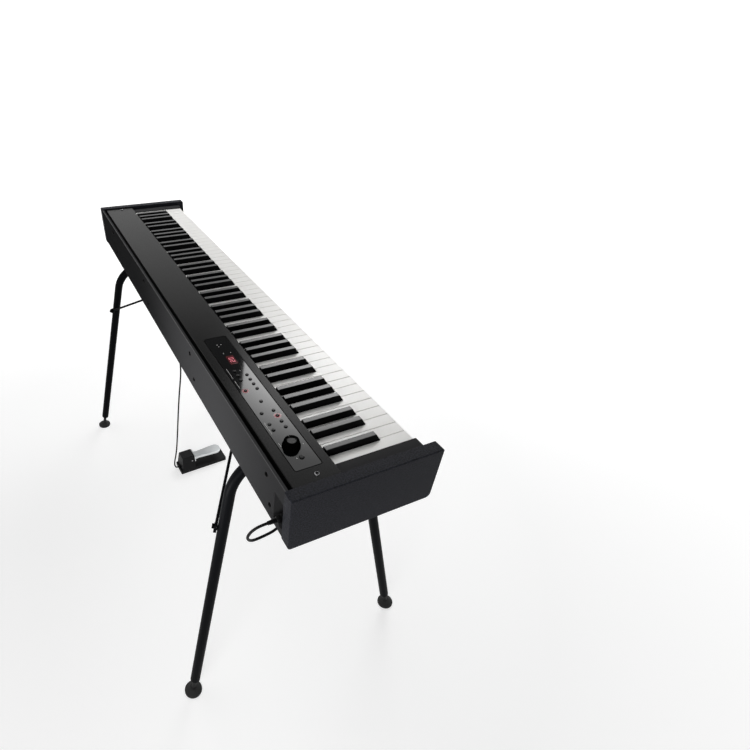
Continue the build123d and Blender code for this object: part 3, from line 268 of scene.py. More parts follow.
# Pressed wool, lacquered circuit board and silicone rubber: a flat red, a satin green and a dull grey.
felt = finish("red_felt", "6e1b1b", 0.95)
board_green = finish("solder_mask", "1e4a2c", 0.45)
contact_rubber = finish("contact_rubber", "4a4a4a", 0.8)
print("stand, pedal and inner finishes", len(bpy.data.materials))

# %% [markdown]
# Every piece of the CAD model gets a finish first. What is remade later takes the same finish.

# %% Paint the CAD model
slot_of = {part["node"]: part["material_slot"] for part in frame["record"]["subparts"]}
finish_of_slot = {
    "case_black": matt_abs,
    "cheek_grey": pebbled_abs,
    "panel_satin": satin_paint,
    "plate_gloss": plate_acrylic,
    "display_red": display_filter,
    "button_plastic": button_abs,
    "knob_plastic": knob_abs,
    "key_white": key_white,
    "key_black": key_black,
    "frame_plastic": inner_abs,
    "felt": felt,
    "circuit_board": board_green,
    "contact_rubber": contact_rubber,
    "zinc_steel": zinc_steel,
    "black_steel": black_steel,
    "tube_paint": powder_coat,
    "foot_rubber": foot_rubber,
    "pedal_plastic": pedal_abs,
    "tread_chrome": tread_chrome,
    "cord_pvc": cord_pvc,
}


def wear(piece, material):
    """Gives the piece its one finish."""
    piece.data.materials.clear()
    piece.data.materials.append(material)


for name, node in nodes.items():
    wear(node, finish_of_slot[slot_of[name]])
print("painted", len(nodes), "nodes")

# %% [markdown]
# Blender's operators act on what is selected, so every step starts with a clean selection. Three
# helpers do what nearly every piece needs: select it alone, apply a modifier to it, and shade it
# smooth. Weighted normals keep the large flats flat right up to a rounded edge.

# %% Work on one piece
SMOOTH_ANGLE = 35


def only(piece):
    """Deselects everything else, because an operator acts on all that is selected."""
    bpy.ops.object.select_all(action="DESELECT")
    piece.select_set(True)
    bpy.context.view_layer.objects.active = piece


def apply_modifier(piece, kind, **settings):
    """A modifier with its settings, applied at once."""
    only(piece)
    modifier = piece.modifiers.new(kind, kind)
    for name, value in settings.items():
        setattr(modifier, name, value)
    bpy.ops.object.modifier_apply(modifier=kind)


def smooth(piece):
    """Smooth shading that stops at sharp edges and keeps flats flat."""
    only(piece)
    bpy.ops.object.shade_smooth_by_angle(angle=radians(SMOOTH_ANGLE))
    apply_modifier(piece, "WEIGHTED_NORMAL", keep_sharp=True)


print("edges sharper than", SMOOTH_ANGLE, "degrees stay sharp")

# %% [markdown]
# Real edges are never sharp: a mould or a press leaves a small round that catches the light. A node
# could get a Bevel modifier, but its mesh is loose triangles. So a copy is merged, its flats are
# dissolved to clean faces, and the copy gets the bevel and stands for the node.

# %% Rounded copies of CAD nodes
CAD_WELD = 0.002
FLAT_ANGLE = 0.5
ROUNDED_ANGLE = 40


def stand_for(piece, node):
    """The piece takes the finish of the node's slot and the node's body, and the node is hidden."""
    wear(piece, finish_of_slot[slot_of[node]])
    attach(piece, nodes[node]["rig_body"])
    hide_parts(node)
    return piece


def soften(node, edge_mm=0, segments=2):
    """A copy of a CAD node with clean faces and, where a width is given, rounded edges."""
    piece = bpy.data.objects.new("soft_" + node, nodes[node].data.copy())
    bpy.context.scene.collection.objects.link(piece)
    only(piece)
    bpy.ops.mesh.customdata_custom_splitnormals_clear()
    bpy.ops.object.mode_set(mode="EDIT")
    bpy.ops.mesh.select_all(action="SELECT")
    bpy.ops.mesh.remove_doubles(threshold=CAD_WELD * MM)
    bpy.ops.mesh.dissolve_limited(angle_limit=radians(FLAT_ANGLE))
    bpy.ops.object.mode_set(mode="OBJECT")
    if edge_mm:
        rounding = {"width": edge_mm * MM, "segments": segments, "angle_limit": radians(ROUNDED_ANGLE)}
        apply_modifier(piece, "BEVEL", limit_method="ANGLE", **rounding)
    smooth(piece)
    return stand_for(piece, node)


print("edges sharper than", ROUNDED_ANGLE, "degrees get a round")

# %% [markdown]
# The boards and blocks of the case get narrow rounds. The rear panel's is wider, and where it looks up
# and back it takes a paler, shinier finish: a painted highlight line.

# %% Soften the edges of the case
CASE_EDGE = 0.6
BOARD_EDGE = 0.4
REAR_EDGE = 0.9
REAR_EDGE_STEPS = 3
EDGE_HIGHLIGHT_FACING = 0.3
for node in ("left_cheek", "right_cheek", "key_slip", "left_end_block", "right_end_block"):
    soften(node, CASE_EDGE)
soften("bottom_board", BOARD_EDGE)
rear_panel = soften("rear_panel", REAR_EDGE, REAR_EDGE_STEPS)
# Faces that look up and back take the paler, shinier finish: a painted highlight line.
rear_panel.data.materials.append(edge_highlight_abs)
for face in rear_panel.data.polygons:
    face.material_index = int(face.normal.y > EDGE_HIGHLIGHT_FACING and face.normal.z > EDGE_HIGHLIGHT_FACING)
print("case edges softened")

# %% [markdown]
# The top panel has a pocket for the control plate with a groove round it. Light hardly gets into the
# groove, so what lies below the plate's face there is left in plain black, and the rest is painted.

# %% Top panel with its groove
PANEL_EDGE = 0.25
GROOVE = 2
plate_low, plate_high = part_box("control_plate")
top_panel = soften("top_panel", PANEL_EDGE)
top_panel.data.materials.append(inner_abs)
for face in top_panel.data.polygons:
    beside_x = plate_low[0] - GROOVE * MM < face.center.x < plate_high[0] + GROOVE * MM
    beside_y = plate_low[1] - GROOVE * MM < face.center.y < plate_high[1] + GROOVE * MM
    face.material_index = int(beside_x and beside_y and face.center.z < plate_high[2])
print("top panel faces", len(top_panel.data.polygons))

# %% [markdown]
# The keys are softened in the same way. On a black key, the faces that look up take the painted sheen.

# %% Soften the keys
OCTAVES = 8
WHITE_KEY_EDGE = 0.5
BLACK_KEY_EDGE = 0.4
TOP_FACING = 0.5
for octave in range(OCTAVES):
    soften(f"white_keys_{octave}", WHITE_KEY_EDGE)
    black_keys = soften(f"black_keys_{octave}", BLACK_KEY_EDGE)
    # The tops take the shinier copy, a painted sheen; the duller sides stand for their shade.
    black_keys.data.materials.append(key_top_sheen)
    for face in black_keys.data.polygons:
        face.material_index = int(face.normal.z > TOP_FACING)
print("keys softened in", OCTAVES, "octaves")

# %% [markdown]
# Small pieces that are round already only need their triangles merged and smoothed, and the moulded
# ones a narrow round.

# %% Smooth the small pieces
TRIM_EDGE = 0.25
FOOT_EDGE = 0.6
PEDAL_EDGE = 0.5
buttons = ("power_button", "display_buttons", "voice_buttons", "setting_buttons", "effect_buttons")
for node in (*buttons, "tempo_buttons", "jack_box", "brace_rods", "stand_bolts", "pedal_pin", "cord_clips"):
    soften(node)
for node in ("control_plate", "pedal_tread", "leg_brackets"):
    soften(node, TRIM_EDGE)
for side in ("left", "right"):
    for end in ("front", "rear"):
        soften(f"{side}_{end}_foot", FOOT_EDGE)
soften("pedal_housing", PEDAL_EDGE)
print("small pieces smoothed")

# %% [markdown]
# The sockets are plastic bodies with plated nuts in front of the bay's wall. One copy carries both
# finishes, parted at the wall's face.

# %% Sockets in the bay
BAY_WALL_Y = 97.2
SOCKET_EDGE = 0.2
sockets = soften("jack_sockets", SOCKET_EDGE)
sockets.data.materials.append(nickel)
for face in sockets.data.polygons:
    face.material_index = int(face.center.y > BAY_WALL_Y * MM)
print("socket faces", len(sockets.data.polygons))

# %% [markdown]
# Printed marks and lit segments are bars about a tenth of a millimetre thick or less. One bar is a
# cube that is stretched between two corners and has its edges rounded in edit mode.

# %% Bars


def bar(low, high, edge_mm):
    """A bar between two corners, in millimetres, with rounded edges."""
    middle = [(a + b) / 2 * MM for a, b in zip(low, high)]
    size = [(b - a) * MM for a, b in zip(low, high)]
    bpy.ops.object.select_all(action="DESELECT")
    bpy.ops.mesh.primitive_cube_add(size=1, location=middle, scale=size)
    bpy.ops.object.transform_apply(location=True, rotation=True, scale=True)
    bpy.ops.object.mode_set(mode="EDIT")
    bpy.ops.mesh.select_all(action="SELECT")
    bpy.ops.mesh.bevel(offset=edge_mm * MM, segments=2, affect="EDGES")
    bpy.ops.object.mode_set(mode="OBJECT")
    return bpy.context.object


def joined(name, pieces):
    """Pieces of one finish as one object."""
    only(pieces[0])
    for piece in pieces:
        piece.select_set(True)
    bpy.ops.object.join()
    piece = bpy.context.object
    piece.name = name
    return piece


def belongs(piece, body, material):
    """A new piece's finish and body."""
    wear(piece, material)
    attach(piece, body)
    return piece


print("bars are ready")

# %% [markdown]
# The display shows two digits of seven segments each. A segment is a bar, and a digit is the list of
# the segments that are lit. The player reads it from the front, so up is towards the back.

# %% Display
DIGIT_WIDTH = 4.6
DIGIT_HEIGHT = 8.0
STROKE = 0.8
SEGMENT_LIFT = 0.12
SEGMENT_EDGE = 0.04
# Where each segment starts and ends, in halves of the digit's width and height.
SEGMENTS = {
    "top": (-1, 1, 1, 1),
    "middle": (-1, 0, 1, 0),
    "bottom": (-1, -1, 1, -1),
    "upper_left": (-1, 0, -1, 1),
    "upper_right": (1, 0, 1, 1),
    "lower_left": (-1, -1, -1, 0),
    "lower_right": (1, -1, 1, 0),
}
TWO = ("top", "upper_right", "middle", "lower_left", "bottom")
NOUGHT = ("top", "bottom", "upper_left", "upper_right", "lower_left", "lower_right")
display_low, display_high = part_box("led_display")
display_x = (display_low[0] + display_high[0]) / 2 / MM
display_y = (display_low[1] + display_high[1]) / 2 / MM
glass_z = display_high[2] / MM


def digit(lit, x):
    """The lit segments of one digit, centred at x."""
    pieces = []
    for left, low, right, high in (SEGMENTS[segment] for segment in lit):
        start = (x + left * DIGIT_WIDTH / 2, display_y + low * DIGIT_HEIGHT / 2)
        end = (x + right * DIGIT_WIDTH / 2, display_y + high * DIGIT_HEIGHT / 2)
        corner_low = (start[0] - STROKE / 2, start[1] - STROKE / 2, glass_z)
        corner_high = (end[0] + STROKE / 2, end[1] + STROKE / 2, glass_z + SEGMENT_LIFT)
        pieces.append(bar(corner_low, corner_high, SEGMENT_EDGE))
    return pieces


lit_segments = digit(TWO, display_x - DIGIT_WIDTH) + digit(NOUGHT, display_x + DIGIT_WIDTH)
digits = joined("display_digits", lit_segments)
belongs(digits, ROOT_BODY, lit_red)
print("display at", round(display_x, 1), round(display_y, 1))

# %% [markdown]
# Printed on the plate are short plain dashes beside the display, the knob and the power button, and
# thin lines that gather the buttons in groups. They are pale ink, so they lie on the gloss and don't
# shine.

# %% Marks on the plate
plate_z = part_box("control_plate")[1][2] / MM
INK_LIFT = 0.05
INK_EDGE = 0.02
# The middle of each dash along and across the keys.
DASHES = (
    (-245, 80.3),
    (-246, 72.5),
    (-252, 79.5),
    (-278, 79.7),
    (-280, 66.2),
    (-342.7, 72.8),
    (-561.8, 59.4),
    (-586.6, 83.3),
)
DASH_SIZE = (2.6, 1.2)
# The start and end of each line along the keys, and its place across them.
GROUP_LINES = ((-363, -329, 93.7), (-394, -370, 93.7), (-524, -494, 93.9), (-555.4, -546.5, 93.7))
LINE_WIDTH = 0.7
ink = []
for x, y in DASHES:
    low = (x - DASH_SIZE[0] / 2, y - DASH_SIZE[1] / 2, plate_z)
    high = (x + DASH_SIZE[0] / 2, y + DASH_SIZE[1] / 2, plate_z + INK_LIFT)
    ink.append(bar(low, high, INK_EDGE))
for start, end, y in GROUP_LINES:
    ink.append(bar((start, y, plate_z), (end, y + LINE_WIDTH, plate_z + INK_LIFT), INK_EDGE))
belongs(joined("plate_marks", ink), ROOT_BODY, mark_ink)
print("marks on the plate", len(ink))

# %% [markdown]
# Round pieces are turned: a circle is extruded along its axis and resized at each ring, as a lathe
# tool would step along the work. One helper does it for screws, lamp rings, plug and cove. Turned work
# has a disc at both ends, so a second helper takes faces away where a piece has to be open.

# %% Turned pieces
SEAM_WELD = 0.001


def turned(name, rings, sides=32):
    """A round piece on the Z axis from rings of radius and height, in millimetres."""
    radius, height = rings[0]
    bpy.ops.object.select_all(action="DESELECT")
    place = (0, 0, height * MM)
    bpy.ops.mesh.primitive_circle_add(vertices=sides, radius=radius * MM, fill_type="NGON", location=place)
    piece = bpy.context.object
    piece.name = name
    bpy.ops.object.transform_apply(location=True)
    bpy.ops.object.mode_set(mode="EDIT")
    bpy.ops.mesh.select_all(action="SELECT")
    for (radius, height), (next_radius, next_height) in zip(rings, rings[1:]):
        rise = (0, 0, (next_height - height) * MM)
        grow = next_radius / radius
        bpy.ops.mesh.extrude_region_move(TRANSFORM_OT_translate={"value": rise})
        bpy.ops.transform.resize(value=(grow, grow, 1), center_override=(0, 0, next_height * MM))
    bpy.ops.mesh.select_all(action="SELECT")
    bpy.ops.mesh.normals_make_consistent(inside=False)
    bpy.ops.object.mode_set(mode="OBJECT")
    return piece


def opened(piece, unwanted):
    """Takes away the faces that a test picks, and closes up the rims that meet."""
    only(piece)
    bpy.ops.object.mode_set(mode="EDIT")
    bpy.ops.mesh.select_all(action="DESELECT")
    bpy.ops.object.mode_set(mode="OBJECT")
    for face in piece.data.polygons:
        face.select = unwanted(face)
    bpy.ops.object.mode_set(mode="EDIT")
    bpy.ops.mesh.delete(type="ONLY_FACE")
    bpy.ops.mesh.select_all(action="SELECT")
    bpy.ops.mesh.remove_doubles(threshold=SEAM_WELD * MM)
    bpy.ops.mesh.normals_make_consistent(inside=False)
    bpy.ops.object.mode_set(mode="OBJECT")
    return piece


print("the lathe is ready")

# %% [markdown]
# Screws and lamps repeat. One of each is made on the axis, and copies of its mesh are set at the
# places where it belongs. The copies are joined, because they share a finish and never move apart.

# %% Copies


def at(x, y, z):
    """A place in millimetres as a matrix."""
    return Matrix.Translation(Vector((x, y, z)) * MM)


def twins(name, model, places):
    """Copies of one model at several places, each with its own mesh, joined to one piece."""
    copies = []
    for place in places:
        copy = bpy.data.objects.new(name, model.data.copy())
        copy.data.transform(place)
        bpy.context.scene.collection.objects.link(copy)
        copies.append(copy)
    bpy.data.objects.remove(model)
    return joined(name, copies)


print("copies are ready")

# %% [markdown]
# A lit button shines through a clear collar in the plate, with a dimmer glow round it, where the light
# only grazes the acrylic. Both are flat rings: turned from the bore outwards and back to the bore, so
# that the discs at both ends can be taken away and the button moves freely through the hole.

# %% Lamps round the lit buttons
LIT_BUTTONS = ((-404, 88), (-486, 66.5))
COLLAR = [(3.4, 0), (4.9, 0), (4.9, 0.08), (4.7, 0.12), (3.5, 0.12), (3.4, 0)]
HALO = [(4.9, 0), (7.0, 0), (7.0, 0.03), (6.8, 0.05), (4.9, 0.05), (4.9, 0)]
# A ring's own faces have four corners, and the discs at its ends have more.
RING_CORNERS = 4
lamp_places = [at(x, y, plate_z) for x, y in LIT_BUTTONS]
for name, profile, material in (("lamp_collars", COLLAR, lamp_red), ("lamp_halos", HALO, halo_red)):
    ring = opened(turned(name, profile), lambda face: len(face.vertices) > RING_CORNERS)
    rings = twins(name, ring, lamp_places)
    smooth(rings)
    belongs(rings, ROOT_BODY, material)
    print(name, "faces", len(rings.data.polygons))

# %% [markdown]
# The knob is soft to the touch and nearly black, but the dish in its top is a gloss inlay. A fine line
# on the rim, by which its turn is read, points along the keys.

# %% Knob
KNOB_EDGE = 0.25
DISH_RADIUS = 7.7
DISH_FACING = 0.3
POINTER_REACH = (8.4, 11.2)
POINTER_WIDTH = 0.8
POINTER_SUNK = 0.1
POINTER_LIFT = 0.08
POINTER_EDGE = 0.03
knob_low, knob_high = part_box("volume_knob")
knob_x = (knob_low[0] + knob_high[0]) / 2 / MM
knob_y = (knob_low[1] + knob_high[1]) / 2 / MM
knob_z = knob_high[2] / MM
knob = soften("volume_knob", KNOB_EDGE)
knob.data.materials.append(knob_dish)
knob_axis = Vector((knob_x, knob_y)) * MM
# A face that runs round the dish has its middle near the axis, so its farthest corner is tested.
for face in knob.data.polygons:
    reach = max((knob.data.vertices[corner].co.xy - knob_axis).length for corner in face.vertices)
    face.material_index = int(reach < DISH_RADIUS * MM and face.normal.z > DISH_FACING)
pointer = bar(
    (knob_x + POINTER_REACH[0], knob_y - POINTER_WIDTH / 2, knob_z - POINTER_SUNK),
    (knob_x + POINTER_REACH[1], knob_y + POINTER_WIDTH / 2, knob_z + POINTER_LIFT),
    POINTER_EDGE,
)
pointer.name = "knob_pointer"
belongs(pointer, "volume_knob_body", faint_ink)
print("knob at", round(knob_x, 1), round(knob_y, 1))

# %% [markdown]
# The case's screws have pan heads with a cross recess. One head is turned, two crossed bars are cut
# from it, and it is copied to the four pairs along the back and to the two on top. The slopes of the two
# on top take a pale metal: a painted highlight ring.

# %% Case screws
SCREW_HEAD = [(4.0, 0), (4.0, 0.8), (3.6, 1.4), (2.7, 1.85), (1.4, 2.0)]
SCREW_SIDES = 24
RECESS_LENGTH = 4.0
RECESS_WIDTH = 1.6
RECESS_FLOOR = 1.2
CUTTER_TOP = 3
CUTTER_EDGE = 0.1
REAR_PAIRS = 4
REAR_FIRST_X = -580
REAR_PITCH = 358
REAR_HIGH = 715
REAR_LOW = 663
REAR_SHIFT = 15
TOP_SCREW_X = 626.5
TOP_SCREW_Y = 72
# How far up a face of the painted highlight ring looks: neither sideways nor straight up.
RIM_HIGHLIGHT_SLOPE = (0.1, 0.99)
panel_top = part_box("top_panel")[1][2] / MM
rear_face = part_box("rear_panel")[1][1] / MM
screw = turned("case_screw_heads", SCREW_HEAD, SCREW_SIDES)
for length, width in ((RECESS_LENGTH, RECESS_WIDTH), (RECESS_WIDTH, RECESS_LENGTH)):
    arm = bar((-length / 2, -width / 2, RECESS_FLOOR), (length / 2, width / 2, CUTTER_TOP), CUTTER_EDGE)
    apply_modifier(screw, "BOOLEAN", object=arm, operation="DIFFERENCE")
    bpy.data.objects.remove(arm)
backwards = Matrix.Rotation(radians(-90), 4, "X")
places = [at(side * TOP_SCREW_X, TOP_SCREW_Y, panel_top) for side in (-1, 1)]
for pair in range(REAR_PAIRS):
    x = REAR_FIRST_X + pair * REAR_PITCH
    places.append(at(x, rear_face, REAR_HIGH) @ backwards)
    places.append(at(x - REAR_SHIFT, rear_face, REAR_LOW) @ backwards)
screws = twins("case_screw_heads", screw, places)
smooth(screws)
stand_for(screws, "case_screws")
# The slopes of the two screws on top take the pale metal: a painted highlight ring.
screws.data.materials.append(rim_highlight_steel)
for face in screws.data.polygons:
    on_top = face.center.z > panel_top * MM
    face.material_index = int(on_top and RIM_HIGHLIGHT_SLOPE[0] < face.normal.z < RIM_HIGHLIGHT_SLOPE[1])
print("screws", len(places))

# %% [markdown]
# Each leg frame is one steel tube, bent twice on a former. So it is drawn as it is made: a ring is
# pushed along for a straight run and spun about an axis for a bend. The axis of a bend stands square
# on the plane of the two directions that it joins.

# %% Bend a tube
BEND_RADIUS = 80
BEND_STEPS = 14


def run(length, along):
    """Extrudes the selected ring."""
    bpy.ops.mesh.extrude_region_move(TRANSFORM_OT_translate={"value": along * length})


def bend(ring_place, along, towards):
    """Spins the selected ring from one direction to another and returns its new place."""
    turn = along.angle(towards)
    inwards = (towards - along * along.dot(towards)).normalized()
    centre = ring_place + inwards * BEND_RADIUS * MM
    axis = towards.cross(along)
    bpy.ops.mesh.spin(steps=BEND_STEPS, angle=turn, center=centre, axis=axis)
    outwards = (along - towards * towards.dot(along)).normalized()
    return centre + outwards * BEND_RADIUS * MM


print("bends have a radius of", BEND_RADIUS)

# %% [markdown]
# The ring runs up the front leg, round the first bend, back under the case, round the second bend and
# down the rear leg. The frame's plane leans outwards, and the legs spread to the front and the back.
# The sheet that this gives gets the tube's wall at the end.

# %% Leg frames
TUBE_RADIUS = 11
TUBE_SIDES = 28
TUBE_WALL = 1.5
# Where the lines of a leg and of the crossbar would meet without the bend.
CORNER = (455.8, 130.3, 621)
# How far a leg goes out along and across the keys for each unit that it goes down.
LEAN = 0.11
SPLAY = 0.23
LEG_END_Z = 42
BACK = Vector((0, 1, 0))


def leg_tube(name, side):
    """The bent tube of one leg frame."""
    up = Vector((-side * LEAN, SPLAY, 1)).normalized()
    down = Vector((side * LEAN, SPLAY, -1)).normalized()
    corner = Vector((side * CORNER[0], -CORNER[1], CORNER[2])) * MM
    setback = BEND_RADIUS * MM * tan(up.angle(BACK) / 2)
    leg = (CORNER[2] - LEG_END_Z) * MM / up.z
    start = corner - up * leg
    turn = up.to_track_quat("Z", "Y").to_euler()
    ring = {"vertices": TUBE_SIDES, "radius": TUBE_RADIUS * MM}
    bpy.ops.object.select_all(action="DESELECT")
    bpy.ops.mesh.primitive_circle_add(**ring, location=start, rotation=turn)
    tube = bpy.context.object
    tube.name = name
    bpy.ops.object.transform_apply(location=True, rotation=True)
    bpy.ops.object.mode_set(mode="EDIT")
    bpy.ops.mesh.select_all(action="SELECT")
    run(leg - setback, up)
    place = bend(corner - up * setback, up, BACK)
    across = 2 * CORNER[1] * MM - 2 * setback
    run(across, BACK)
    bend(place + BACK * across, BACK, down)
    run(leg - setback, down)
    bpy.ops.mesh.select_all(action="SELECT")
    bpy.ops.mesh.remove_doubles(threshold=SEAM_WELD * MM)
    bpy.ops.mesh.normals_make_consistent(inside=False)
    bpy.ops.object.mode_set(mode="OBJECT")
    apply_modifier(tube, "SOLIDIFY", thickness=TUBE_WALL * MM, offset=-1.0)
    smooth(tube)
    return tube


for side, side_name in ((-1, "left"), (1, "right")):
    tube = leg_tube(f"{side_name}_bent_tube", side)
    stand_for(tube, f"{side_name}_leg_frame")
    print(tube.name, "faces", len(tube.data.polygons))

# %% [markdown]
# The plug is a moulded barrel with two grip grooves and a ribbed sleeve that saves the lead from
# sharp bends. It is turned in one go, from its metal pin to the last rib.

# %% Plug
PLUG_FACE = (-624.5, 100.3, 661)
PIN_RADIUS = 3.1
PIN_LENGTH = 18
BARREL_RADIUS = 6.0
BARREL_FACE_RADIUS = 5.4
BARREL_END_RADIUS = 5.2
BARREL_START = 1.2
BARREL_STOP = 30.5
BARREL_LENGTH = 32
GRIP_RADIUS = 5.4
GRIP_GROOVES = (18, 23)
GRIP_WIDTH = 2.6
GRIP_SLOPE = 0.6
SLEEVE_LENGTH = 14
SLEEVE_RADII = (4.0, 3.3)
RIBS = 5
RIB_DEPTH = 0.7
RIB_GAP = 1.0
RIB_SLOPE = 0.1
plug_rings = [(PIN_RADIUS, -PIN_LENGTH), (PIN_RADIUS, 0)]
plug_rings += [(BARREL_FACE_RADIUS, 0), (BARREL_RADIUS, BARREL_START)]
for groove in GRIP_GROOVES:
    groove_end = groove + GRIP_WIDTH
    plug_rings += [(BARREL_RADIUS, groove), (GRIP_RADIUS, groove + GRIP_SLOPE)]
    plug_rings += [(GRIP_RADIUS, groove_end - GRIP_SLOPE), (BARREL_RADIUS, groove_end)]
plug_rings += [(BARREL_RADIUS, BARREL_STOP), (BARREL_END_RADIUS, BARREL_LENGTH)]
rib_pitch = SLEEVE_LENGTH / RIBS
for rib in range(RIBS):
    start = BARREL_LENGTH + rib * rib_pitch
    radius = SLEEVE_RADII[0] + (SLEEVE_RADII[1] - SLEEVE_RADII[0]) * rib / (RIBS - 1)
    gap_radius = radius - RIB_DEPTH
    plug_rings += [(gap_radius, start + RIB_SLOPE), (gap_radius, start + RIB_GAP - RIB_SLOPE)]
    plug_rings += [(radius, start + RIB_GAP + RIB_SLOPE), (radius, start + rib_pitch - RIB_SLOPE)]
plug = turned("lead_plug", plug_rings)
plug.data.transform(at(*PLUG_FACE) @ backwards)
smooth(plug)
stand_for(plug, "cord_plug")
print("plug rings", len(plug_rings))

# %% [markdown]
# The lead leaves the pedal in a small fold, rises to the case in a slack line, runs along the underside
# through three clips and goes round a loop into the plug. Its points are listed: those of the fold and
# the rise are counted from the pedal, and those of the loop from the end of the plug's sleeve.

# %% Route of the pedal's lead
PEDAL_EXIT = Vector((184.945, 87.901, 13))
NEAR_EXIT = Vector((184.579, 95.392, 13))
BOARD_UNDER = 636
SLEEVE_END = Vector(PLUG_FACE) + Vector((0, BARREL_LENGTH + SLEEVE_LENGTH, 0))
STRAIGHT_LEAD = 9.2
UNDER_FROM = 81.045
UNDER_TO = -502
UNDER_RUNS = 12
UNDER_Y = 105.5
UNDER_Z = 631.2
WANDER = 0.5
PEDAL_FOLD = ((4.6, 11.1, 4), (8.1, 10.1, 17), (11.1, 5.1, 32), (11.6, 0.1, 53))
# Offsets from the pedal along and across the keys, and the share of the height under the board.
LEAD_FALL = (
    (10.1, -3.9, 0.145),
    (7.6, -8.9, 0.215),
    (5.6, -14.9, 0.3),
    (3.1, -20.9, 0.392),
    (-0.9, -26.9, 0.48),
    (-6.9, -32.9, 0.563),
    (-13.9, -37.9, 0.645),
    (-18.9, -35.9, 0.725),
    (-21.9, -23.9, 0.799),
    (-27.9, -9.9, 0.866),
    (-35.9, 2.1, 0.92),
    (-47.9, 11.1, 0.961),
    (-70.9, 16.1, 0.986),
)
PLUG_LOOP = (
    (94.5, -44.3, -31.5),
    (71.5, -49.3, -35),
    (51.5, -50.3, -39),
    (34.5, -46.3, -42.5),
    (22.5, -35.3, -45),
    (15.5, -20.3, -45.5),
    (12.5, -4.3, -44.5),
    (10, 10.2, -42.5),
    (7.5, 20.7, -39),
    (5.5, 28.2, -31.5),
    (3.5, 31.2, -21),
    (1.5, 28.2, -10.5),
    (0.5, 20.2, -3),
)
route = [PEDAL_EXIT, NEAR_EXIT]
route += [PEDAL_EXIT + Vector(off) for off in PEDAL_FOLD]
route += [Vector((PEDAL_EXIT.x + x, PEDAL_EXIT.y + y, share * BOARD_UNDER)) for x, y, share in LEAD_FALL]
step = (UNDER_TO - UNDER_FROM) / UNDER_RUNS
for place in range(UNDER_RUNS + 1):
    sideways = WANDER if place % 2 else -WANDER
    route.append(Vector((UNDER_FROM + place * step, UNDER_Y + sideways, UNDER_Z)))
route += [SLEEVE_END + Vector(off) for off in PLUG_LOOP]
route += [SLEEVE_END + Vector((0, STRAIGHT_LEAD, 0)), SLEEVE_END]
print("route points", len(route))

# %% [markdown]
# The lead itself is one smooth curve along that route, with a round section. A mesh could be swept
# along it, but a curve keeps its line, and its spline rounds the corners between the points.

# %% Pedal lead
LEAD_RADIUS = 2.3
line = bpy.data.curves.new("pedal_lead", "CURVE")
line.dimensions = "3D"
line.bevel_depth = LEAD_RADIUS * MM
line.bevel_resolution = 4
line.use_fill_caps = True
spline = line.splines.new("NURBS")
spline.points.add(len(route) - 1)
for point, place in zip(spline.points, route):
    point.co = (*(place * MM), 1)
spline.order_u = 3
spline.use_endpoint_u = True
spline.resolution_u = 6
lead = bpy.data.objects.new("pedal_lead", line)
bpy.context.scene.collection.objects.link(lead)
stand_for(lead, "pedal_cord")

# %% [markdown]
# The studio is a white bowl: a floor that turns up into a low wall all round, as a photographer's
# cove does. It is turned like the other round pieces, and its lid is taken off.

# %% Floor and cove
COVE = [(7500, 5000), (7500, 1500), (7400, 800), (7150, 350), (6700, 90), (6000, 0)]
COVE_SIDES = 64
LID_ABOVE = 4900
cove = opened(turned("studio_cove", COVE, COVE_SIDES), lambda face: face.center.z > LID_ABOVE * MM)
bpy.ops.object.shade_smooth_by_angle(angle=radians(SMOOTH_ANGLE))
print("cove faces", len(cove.data.polygons))

# %% [markdown]
# The cove's paper is lit by the lamps and keeps the piano's shadow. For the camera and for shiny
# pieces it also glows, fully on the wall and less under the piano, so that the shadow stays. A light
# path node tells those rays from the ones that carry light to the piano.

# %% Studio paper
NEAR_RADIUS = 1.0
FAR_RADIUS = 3.0
GLOW_NEAR = 0.62
GLOW_FAR = 1.0
# Matt paper on a roll: an even white without a highlight.
paper = finish("studio_paper", "c0c0c0", 0.9, Specular_IOR_Level=0.0)
paper_tree = paper.node_tree
place = add_node(paper_tree, "ShaderNodeTexCoord", {})
distance = add_node(paper_tree, "ShaderNodeVectorMath", {"operation": "LENGTH"}, [(place, "Object", 0)])
glow = add_node(
    paper_tree,
    "ShaderNodeMapRange",
    {"From Min": NEAR_RADIUS, "From Max": FAR_RADIUS, "To Min": GLOW_NEAR, "To Max": GLOW_FAR},
    [(distance, "Value", "Value")],
)
seen = add_node(paper_tree, "ShaderNodeLightPath", {})
mirrored = add_node(
    paper_tree,
    "ShaderNodeMath",
    {"operation": "MAXIMUM"},
    [(seen, "Is Glossy Ray", 0), (seen, "Is Transmission Ray", 1)],
)
shown = add_node(
    paper_tree,
    "ShaderNodeMath",
    {"operation": "MAXIMUM"},
    [(seen, "Is Camera Ray", 0), (mirrored, "Value", 1)],
)
strength = add_node(
    paper_tree,
    "ShaderNodeMath",
    {"operation": "MULTIPLY"},
    [(glow, "Result", 0), (shown, "Value", 1)],
)
paper_shader = paper_tree.nodes["Principled BSDF"]
paper_shader.inputs["Emission Color"].default_value = linear("ffffff")
paper_tree.links.new(strength.outputs["Value"], paper_shader.inputs["Emission Strength"])
cove.data.materials.append(paper)
print("paper glows from", GLOW_NEAR, "to", GLOW_FAR)

# %% [markdown]
# A photographer's soft box is a rectangle of bright cloth. It is brightest in front of its bulb and
# falls off to a dim rim, which shows in anything glossy, so a second helper shapes that fall.

# %% Soft boxes


def aim(place, target):
    """The turn that points a lamp from its place to a target."""
    return (Vector(target) - Vector(place)).to_track_quat("-Z", "Y").to_euler()


def soft_box(name, place, target, width, length, power):
    """A rectangular light at a place, turned to a point."""
    bpy.ops.object.select_all(action="DESELECT")
    bpy.ops.object.light_add(type="AREA", location=place)
    lamp = bpy.context.object
    lamp.name = name
    lamp.data.shape = "RECTANGLE"
    lamp.data.size = width
    lamp.data.size_y = length
    lamp.data.energy = power
    lamp.rotation_euler = aim(place, target)
    return lamp


